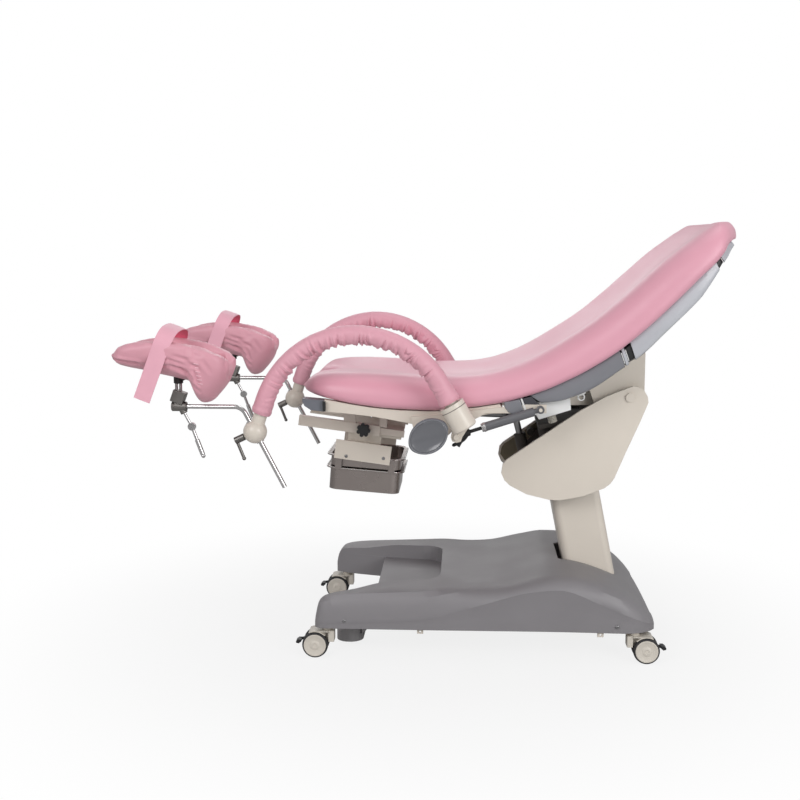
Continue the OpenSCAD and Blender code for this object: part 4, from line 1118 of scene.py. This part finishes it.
def well_cutters(grow, floor, gate_floor, material):
    """The footwell as two prisms: its bowl above the floor, and its way out at the front."""
    plan = [(x, y + grow) for x, y in FOOTWELL_PLAN]
    turn = [np.radians(a) for a in np.linspace(88, 0, 12)]
    middle_x, middle_y = FOOTWELL_CORNER
    radius = FOOTWELL_ROUND + grow
    rear = [(middle_x + radius * np.cos(a), middle_y + radius * np.sin(a)) for a in turn]
    lip = FOOTWELL_LIP + grow
    front = [(x, y) for x, y in plan if x < lip] + [(lip, np.interp(lip, *zip(*plan)))]
    front = [(x, y - 0.3) for x, y in front]
    bowl_and_gate = (("well", plan + rear, floor, 420), ("gate", front, gate_floor, 400))
    return [prism(name, half + [(x, -y) for x, y in half[::-1]], low, high, material, across=False)
        for name, half, low, high in bowl_and_gate]


def make_base_cover():
    """The cover as one moulded shell with its footwell, open below, and a slot for the column."""
    grey = MATERIALS["cover"]
    cover = cover_solid("base_shell", 0, grey)
    hollow = cover_solid("hollow", COVER_WALL, grey)
    for cutter in well_cutters(COVER_WALL, FOOTWELL_FLOOR - COVER_WALL, 20, grey):
        cut(hollow, cutter)
    cut(cover, hollow)
    for cutter in well_cutters(0, FOOTWELL_FLOOR, 10, grey):
        cut(cover, cutter)
    slot = [(375, -90), (387, -102), (535, -102), (547, -90), (547, 90), (535, 102), (387, 102),
        (375, 90)]
    cut(cover, prism("slot", slot, 150, 350, grey, across=False))
    cover.data.shade_smooth()
    cover.data.set_sharp_from_angle(angle=math.radians(28))
    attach(cover, "base")
    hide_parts("base_cover")


# Small fittings


def ride_all(parts, name, body):
    """Joins parts into one piece and lets it ride on a body."""
    made = joined(name, parts)
    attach(made, body)
    return made


def make_caster_discs():
    """The cream discs on the outer faces of each caster's two wheels."""
    for end, x in CASTER_X.items():
        for side, sign in SIDES:
            parts = []
            for face in (-1, 1):
                profile = [(31.5, -1.0), (32.3, 0.6), (31.6, 1.8), (29.0, 2.2), (27.4, 1.2), (14, 0.9),
                    (12.8, 1.8), (6.5, 2.4), (5.8, 1.4), (1, 1.2)]
                place = (x, sign * CASTER_Y + face * CASTER_FACE, CASTER_Z)
                parts.append(lathe(f"disc_{face}", profile, place, (0, face, 0),
                    MATERIALS["caster"], 64))
            ride_all(parts, f"{end}_{side}_discs", f"{end}_{side}_roller")


def screw(name, place, axis, radius, material):
    """A round screw head with a hollow in its middle."""
    profile = [(radius, -0.5), (radius, 1.4), (radius * 0.8, 2.2), (radius * 0.52, 2.4),
        (radius * 0.45, 1.0), (0.3, 1.0)]
    return lathe(name, profile, place, axis, material, 24)


def pan_loop(lift):
    """The line of a pan's rolled edge, as it lies on its slide."""
    half_length, half_width, r = 115.8, 127.8, 36
    line = []
    for k, (sx, sy) in enumerate(((1, 1), (-1, 1), (-1, -1), (1, -1))):
        for a in np.radians(np.linspace(90 * k, 90 * k + 90, 9)):
            line.append((sx * (half_length - r) + r * math.cos(a),
                sy * (half_width - r) + r * math.sin(a)))
    line.append(line[0])
    places = [leaned(x, lift, PAN_LEAN, PAN_AT) for x, y in line]
    return [(x, y, z) for (x, z), (_, y) in zip(places, line)]


def make_pan_rims():
    """The rolled edges of the two pans, in a much paler steel than the pans: a painted highlight."""
    for name, body, lift in (("basin_rim", "basin", -0.7), ("carrier_rim", "basin_carrier", 37.3)):
        rim = tube(name, pan_loop(lift), 2.3, MATERIALS["bright"], 12)
        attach(rim, body)


def make_linings():
    """Dark olive sheets on the side plates' inner faces, painted shade where those cream faces lie in
    shadow.
    """
    outline = [(206, 522), (210, 544), (218, 555), (314, 622), (430, 701), (503, 743), (560, 766),
        (594, 700), (552, 584), (522, 512), (500, 485), (440, 461), (373, 448), (340, 449), (275, 465),
        (229, 489)]
    for side, sign in SIDES:
        lining = side_prism(f"{side}_plate_lining", outline, sign, 148.5, 152.9, MATERIALS["lining"])
        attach(lining, "lift")


def make_hinge_blocks():
    """The grey blocks over the back's hinges, each with a white strip and a recess behind it, its dark
    grey painted shade.
    """
    for side, sign in SIDES:
        block = side_prism("block", [(199, 749), (202, 733), (212, 720), (226, 714), (243, 712),
            (257, 720), (243, 757), (216, 751)], sign, 295, 304.6, MATERIALS["back"], 2.5)
        strip = side_prism("strip", [(259, 720), (264, 723), (249.5, 759.5), (245, 758)], sign,
            296, 305.2, MATERIALS["box"], 0.6)
        # The recess is a dark prism: painted shade in the hollow behind the strip.
        recess = side_prism("recess", [(262, 726), (306, 735), (274, 764), (250, 758)], sign,
            289, 299, MATERIALS["dark"], 1.0)
        ride_all([block, strip, recess], f"{side}_hinge_block", "top")


# An oval cover's dish and rim: half lengths and widths, and the dish's rings as share and height
DISH_HALVES, RIM_HALVES = (51.6, 38.2), (55.4, 42.0)
DISH_RINGS = ((1.05, 9.0), (1.05, 15.2), (1.01, 16.4), (0.96, 15.6), (0.88, 14.2), (0.76, 12.8),
    (0.6, 11.5), (0.4, 10.4), (0.2, 9.7), (0.06, 9.5))


def oval(long_half, short_half, angles):
    """The [x, z] points of an oval about the covers' middle, leaning as they do."""
    long_way, short_way = np.array([0.819, 0.574]), np.array([-0.574, 0.819])
    return [np.array(OVAL_AT) + long_way * long_half * np.cos(a) + short_way * short_half * np.sin(a)
        for a in angles]


def make_dishes():
    """The glossy hollow faces and raised edges of the oval covers, the edges lighter as a painted
    highlight.
    """
    angles = np.linspace(0, 2 * np.pi, 72, endpoint=False)
    count, last = len(angles), len(DISH_RINGS) - 1
    faces = skin_faces(last + 1, count) + [tuple(last * count + j for j in range(count))]
    for side, sign in SIDES:
        rings = []
        for share, rise in DISH_RINGS:
            y = sign * (OVAL_FACE_Y + rise)
            halves = (half * share for half in DISH_HALVES)
            rings += [(x, y, z) for x, z in oval(*halves, angles)]
        dish = mesh_object(f"{side}_cover_dish", rings, faces, MATERIALS["dish"], 60)
        edge = [(x, sign * OVAL_RIM_Y, z) for x, z in oval(*RIM_HALVES, np.append(angles, 0))]
        # The raised rim takes the lighter shell grey all round: a painted highlight along the dish's
        # edge.
        rim = tube(f"{side}_cover_rim", edge, 1.7, MATERIALS["back"], 10)
        ride_all([dish, rim], f"{side}_oval_dish", "top")


def make_rest_posts():
    """Each leg rest's bracket: a black plate and cap on two bright posts."""
    for side, sign in SIDES:
        y = sign * ARM_Y
        plate = prism("plate", [(-752, 835), (-752, 840), (-703, 829.5), (-680, 818), (-682, 813),
            (-704, 824)], y - 24, y + 24, MATERIALS["bracket"], 1.0)
        up = (0, 0, 1)
        cap = lathe("cap", [(10, 0), (13, 1.5), (13, 17), (12, 22)], (POST_X, y, 803), up,
            MATERIALS["bracket"], 40)
        foot = lathe("foot", [(10, 0), (10.6, 0.8), (10.6, 5), (9.6, 6)], (POST_X, y, 762), up,
            MATERIALS["block"], 40)
        posts = [lathe(f"post_{k}", [(4.2, 0), (4.2, 42)], (POST_X + k * 5.8, y, 764), up,
            MATERIALS["chrome"], 32) for k in (-1, 1)]
        post = joined(f"{side}_rest_posts", [plate, cap, foot, *posts])
        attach(post, f"{side}_rest")
        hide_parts(f"{side}_rest_bracket")


def make_clamp_bodies():
    """Each leg rod's clamp: a leaning block over a sleeve on the rod, with the screw's boss."""
    corners = [leaned(a, b, 20, (POST_X, 766)) for a, b in ((-18, -17), (18, -17), (18, 17), (-18, 17))]
    way = (math.cos(math.radians(-62)), 0, math.sin(math.radians(-62)))
    for side, sign in SIDES:
        y = sign * ARM_Y
        block = prism("block", corners, y - 17, y + 17, MATERIALS["block"], 2.2)
        sleeve = lathe("sleeve", [(7.5, 0), (12, 0), (13.5, 1.5), (13.5, 40.5), (12, 42), (7.5, 42)],
            (-722, y, 739), (1, 0, 0), MATERIALS["block"], 48)
        neck = prism("neck", [(-713, 742), (-691, 742), (-691, 756), (-713, 756)], y - 11, y + 11,
            MATERIALS["block"], 1.5)
        boss = lathe("boss", [(9, 0), (10, 1), (10, 16.6), (8.6, 18)], (-695.4, y, 735.6), way,
            MATERIALS["block"], 40)
        body = joined(f"{side}_clamp_body", [block, sleeve, neck, boss])
        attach(body, f"{side}_block")
        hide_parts(f"{side}_clamp_block")


def make_gas_heads():
    """The gas springs' collars, heads and levers, a bolt on each lug and a clip under each rail."""
    rear, front = np.array(GAS_REAR), np.array(GAS_FRONT)
    way = (front - rear) / np.linalg.norm(front - rear)
    for side, sign in SIDES:
        def at(reach, lift=0.0):
            x, z = rear + way * reach
            return (x, sign * GAS_Y, z + lift)
        along = (way[0], 0, way[1])
        collar = lathe("collar", [(11, 0), (13.4, 1.0), (13.4, 7), (12, 8), (12, 12), (10, 13)],
            at(158), along, MATERIALS["chrome"], 40)
        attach(collar, f"{side}_gas_cylinder")
        collar.name = f"{side}_gas_collar"
        head = lathe("head", [(6, 0), (11, 2), (12, 18), (9, 26), (5, 30)], at(204), along,
            MATERIALS["black"], 32)
        path = rounded_line([at(212, -6), at(222, -16), at(238, -22), at(252, -24)], 4)
        lever = tube("lever", path, 5.2, MATERIALS["black"], 12)
        ride_all([head, lever], f"{side}_gas_head", f"{side}_gas_rod")
        bolt = screw("bolt", (front[0], sign * 329, front[1]), (0, sign, 0), 6.5, MATERIALS["black"])
        ride_all([bolt], f"{side}_lug_bolt", f"{side}_leg")
        clip = side_prism("clip", [(-309, 720), (-301, 719), (-301, 747), (-309, 748)], sign,
            300, 309.5, MATERIALS["black"], 0.8)
        ride_all([clip], f"{side}_rail_clip", "top")


def make_fittings():
    """Screws, the rings of the arms' sockets, the ring on its clip and the pleated plug."""
    for name, body, y, places in (("cover_screws", "base", 321.2, ((-251, 114), (526, 111))),
            ("hanger_screws", "basin_carrier", 140, ((-261, 562), (-150, 556)))):
        parts = [screw(f"{name}_{sign}_{x}", (x, sign * y, z), (0, sign, 0), 5, MATERIALS["rod"])
            for sign in (-1, 1) for x, z in places]
        ride_all(parts, name, body)
    turn = math.radians(SOCKET_ANGLE)
    socket = np.array([-math.cos(turn), math.sin(turn)])
    place = np.array(SOCKET_TOP) - socket * 14
    for side, sign in SIDES:
        ring = lathe(f"{side}_socket_ring", [(35.2, 0), (36.1, 0.2), (36.1, 1.6), (35.2, 1.8)],
            (place[0], sign * ARM_Y, place[1]), (socket[0], 0, socket[1]), MATERIALS["inside"], 64)
        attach(ring, f"{side}_leg")
    angles = np.linspace(0, 2 * math.pi, 28)
    loop = [(423 + 9 * math.cos(a), -205, 752 + 9 * math.sin(a)) for a in angles]
    ring = tube("ring", loop, 2.2, MATERIALS["box"], 10)
    clip = prism("clip", [(404, 757), (404, 766), (432, 774), (436, 764), (424, 757)], -212, -198,
        MATERIALS["box"], 1.5)
    ride_all([ring, clip], "clip_ring", "back")
    pleats = [(2, 0)]
    for k in range(5):
        start = 4.4 * k
        pleats += [(12, 1 + start), (13.5, 2.2 + start), (12, 3.4 + start), (10.5, 4.4 + start)]
    plug = lathe("pleated_plug", pleats, (336, -228, 703), (0.3, 0, -0.95), MATERIALS["clear"], 36)
    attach(plug, "back")


# Stage


def aim(place, target):
    return (Vector(target) - Vector(place)).to_track_quat("-Z", "Y").to_euler()


def lamp(name, place, target, power, width, height):
    data = bpy.data.lights.new(name, "AREA")
    data.shape, data.size, data.size_y, data.energy = "RECTANGLE", width, height, power
    made = add_object(name, data)
    made.location, made.rotation_euler = place, aim(place, target)


def seen_directly(tree, rays):
    """1 for the rays of the camera and those through clear plastic, 0 for all others."""
    return maths(tree, "MAXIMUM", rays["Is Camera Ray"], rays["Is Transmission Ray"])


def mixed_end(tree, kind, share, first, second):
    """Ends a node tree in a mix of two shaders."""
    mix, end = node(tree, "ShaderNodeMixShader"), node(tree, kind)
    for target, source in zip(mix.inputs, (share, first.outputs[0], second.outputs[0])):
        tree.links.new(source, target)
    tree.links.new(mix.outputs[0], end.inputs[0])


def make_floor():
    """A wide pale floor that keeps the shadow near the object and runs out to white."""
    count = 29
    grid = np.linspace(-14000, 14000, count)
    points = [(x, y, -0.5) for x in grid for y in grid]
    faces = [(i * count + j, (i + 1) * count + j, (i + 1) * count + j + 1, i * count + j + 1)
        for i in range(count - 1) for j in range(count - 1)]
    pale = bpy.data.materials.new("studio_floor")
    tree = bare_tree(pale)
    matt = node(tree, "ShaderNodeBsdfDiffuse", None, {"Color": (0.62, 0.62, 0.62, 1)})
    white = node(tree, "ShaderNodeEmission", None, {"Color": WHITE, "Strength": 1.0})
    place = node(tree, "ShaderNodeNewGeometry")
    far = node(tree, "ShaderNodeVectorMath", {"operation": "LENGTH"})
    fade = node(tree, "ShaderNodeMapRange", {"interpolation_type": "SMOOTHSTEP"},
        {"From Min": 0.5, "From Max": 1.6, "To Min": 0.84, "To Max": 1.0})
    tree.links.new(place.outputs["Position"], far.inputs[0])
    tree.links.new(far.outputs["Value"], fade.inputs["Value"])
    rays = node(tree, "ShaderNodeLightPath").outputs
    share = maths(tree, "MULTIPLY", seen_directly(tree, rays), fade.outputs[0])
    mixed_end(tree, "ShaderNodeOutputMaterial", share, matt, white)
    floor = mesh_object("floor", points, faces, pale)


def make_world():
    """An even pale sky: dim for light on the object, paler in reflections, white where it is seen."""
    world = bpy.data.worlds.new("studio")
    bpy.context.scene.world = world
    tree = bare_tree(world)
    sky = node(tree, "ShaderNodeBackground", None, {"Color": WHITE, "Strength": 0.36})
    white = node(tree, "ShaderNodeBackground", None, {"Color": WHITE, "Strength": 1.0})
    rays = node(tree, "ShaderNodeLightPath").outputs
    shine = maths(tree, "MULTIPLY", rays["Is Glossy Ray"], 0.3)
    shown = maths(tree, "MAXIMUM", seen_directly(tree, rays), shine)
    mixed_end(tree, "ShaderNodeOutputWorld", shown, sky, white)


def make_camera():
    """The camera, placed, turned and tilted down as the photo was taken."""
    data = bpy.data.cameras.new("view")
    data.sensor_width, data.lens = 36, CAMERA_LENS
    data.clip_start, data.clip_end = 0.05, 60
    made = add_object("view", data)
    made.location = CAMERA_AT
    made.rotation_euler = (math.radians(90 - CAMERA_DOWN), 0, math.radians(CAMERA_TURN))
    bpy.context.scene.camera = made


def make_stage():
    make_floor()
    make_world()
    make_camera()
    middle = (0, 0, 0.7)
    lamp("key", (-2.2, -3.9, 2.9), middle, 72, 2.2, 2.0)
    lamp("fill", (2.9, -3.6, 2.0), middle, 82, 2.2, 2.0)
    lamp("top", (0.6, 0.4, 4.2), middle, 22, 2.4, 1.2)
    lamp("rear", (-1.0, 3.8, 2.6), middle, 25, 3.0, 2.0)
    bpy.context.scene.view_settings.view_transform = "Standard"


# The add-on


def length_property(label, what, default):
    return FloatProperty(name=label, description=what, default=default * MM, unit="LENGTH",
        subtype="DISTANCE", precision=4)


def colour_property(label, what, default):
    return FloatVectorProperty(name=label, description=what, default=default, subtype="COLOR", size=3,
        min=0, max=1)


class TableSizes(bpy.types.PropertyGroup):
    """Sizes of the soft pieces"""

    pad_half_width: length_property("Pad half width", "Half of the pad's width at the seat", 314)
    pad_hollow: FloatProperty(name="Pad hollow", default=0.24, min=0, max=0.4, subtype="FACTOR",
        description="Depth of the lengthwise hollow as a share of the pad's thickness")
    notch_depth: length_property("Notch depth", "Depth of the notch in the seat's front edge", 70)
    rest_half_width: length_property("Rest half width", "Half of a leg rest's width", 86)
    strap_width: length_property("Strap width", "Width of a leg strap", 46)
    sleeve_width: length_property("Sleeve width", "Width of the sleeve on a leg arm", 52)


class TableColours(bpy.types.PropertyGroup):
    """Colours of the main finishes"""

    pad: colour_property("Pad", "Colour of the one-piece pad", shade(226, 163, 180))
    # The rests' and sleeves' pinks are the pad's pink vinyl, darkened a little as painted shade.
    rest: colour_property("Leg rests", "Colour of the leg rests", shade(220, 158, 172))
    sleeve: colour_property("Sleeves", "Colour of the arm sleeves", shade(224, 163, 178))
    strap: colour_property("Straps", "Colour of the leg straps", shade(236, 176, 192))
    cream: colour_property("Cream paint", "Colour of the painted metal", shade(221, 212, 200))
    cover: colour_property("Base cover", "Colour of the base cover", shade(135, 132, 135))
    shell: colour_property("Back shell", "Colour of the back shell", shade(125, 126, 132))


class DressFrame(bpy.types.Operator):
    """Make the finishes and give each rigid part its own"""

    bl_idname = "obstetric.frame"
    bl_label = "Finishes"

    def execute(self, context):
        make_effects()
        make_materials(context.scene.table_colours)
        dress_frame()
        return {"FINISHED"}


class BodyPad(bpy.types.Operator):
    """Make the one-piece pad of the seat and back"""

    bl_idname = "obstetric.body_pad"
    bl_label = "One-piece pad"

    def execute(self, context):
        make_body_pad(context.scene.table_sizes)
        return {"FINISHED"}


class LegRests(bpy.types.Operator):
    """Make both padded leg rests with their stitches"""

    bl_idname = "obstetric.leg_rests"
    bl_label = "Leg rests"

    def execute(self, context):
        make_leg_rests(context.scene.table_sizes)
        return {"FINISHED"}


class LegStraps(bpy.types.Operator):
    """Make the strap over each leg rest"""

    bl_idname = "obstetric.leg_straps"
    bl_label = "Leg straps"

    def execute(self, context):
        make_leg_straps(context.scene.table_sizes)
        return {"FINISHED"}


class ArmSleeves(bpy.types.Operator):
    """Make the gathered sleeve on each leg arm"""

    bl_idname = "obstetric.arm_sleeves"
    bl_label = "Arm sleeves"

    def execute(self, context):
        make_arm_sleeves(context.scene.table_sizes)
        return {"FINISHED"}


class BackShell(bpy.types.Operator):
    """Make the moulded shell under the back"""

    bl_idname = "obstetric.back_shell"
    bl_label = "Back shell"

    def execute(self, context):
        make_back_shell()
        return {"FINISHED"}


class BaseCover(bpy.types.Operator):
    """Make the moulded cover of the base"""

    bl_idname = "obstetric.base_cover"
    bl_label = "Base cover"

    def execute(self, context):
        make_base_cover()
        return {"FINISHED"}


class Fittings(bpy.types.Operator):
    """Make the discs, screws, pan rims in pale steel as a painted highlight, the side plates'
    painted-shade sheets, hinge blocks, dishes, posts, clamps and gas heads
    """

    bl_idname = "obstetric.fittings"
    bl_label = "Small fittings"

    def execute(self, context):
        make_caster_discs()
        make_fittings()
        make_pan_rims()
        make_linings()
        make_hinge_blocks()
        make_dishes()
        make_rest_posts()
        make_clamp_bodies()
        make_gas_heads()
        return {"FINISHED"}


class Stage(bpy.types.Operator):
    """Make the floor, the lights and the camera"""

    bl_idname = "obstetric.stage"
    bl_label = "Stage"

    def execute(self, context):
        make_stage()
        return {"FINISHED"}


OPERATORS = (DressFrame, BodyPad, LegRests, LegStraps, ArmSleeves, BackShell, BaseCover, Fittings,
    Stage)


class TablePanel(bpy.types.Panel):
    """The table's pieces, sizes and colours"""

    bl_idname = "VIEW3D_PT_obstetric_table"
    bl_label = "Obstetric Table"
    bl_space_type = "VIEW_3D"
    bl_region_type = "UI"
    bl_category = "Table"

    def draw(self, context):
        layout = self.layout
        for group in (context.scene.table_sizes, context.scene.table_colours):
            for key in group.__annotations__:
                layout.prop(group, key)
        for operator in OPERATORS:
            layout.operator(operator.bl_idname)


CLASSES = (TableSizes, TableColours, *OPERATORS, TablePanel)


def register():
    for entry in CLASSES:
        bpy.utils.register_class(entry)
    bpy.types.Scene.table_sizes = PointerProperty(type=TableSizes)
    bpy.types.Scene.table_colours = PointerProperty(type=TableColours)


def unregister():
    del bpy.types.Scene.table_colours
    del bpy.types.Scene.table_sizes
    for entry in reversed(CLASSES):
        bpy.utils.unregister_class(entry)


def main():
    register()
    bpy.ops.obstetric.frame()
    bpy.ops.obstetric.body_pad()
    bpy.ops.obstetric.leg_rests()
    bpy.ops.obstetric.leg_straps()
    bpy.ops.obstetric.arm_sleeves()
    bpy.ops.obstetric.back_shell()
    bpy.ops.obstetric.base_cover()
    bpy.ops.obstetric.fittings()
    bpy.ops.obstetric.stage()


if __name__ == "__main__":
    main()
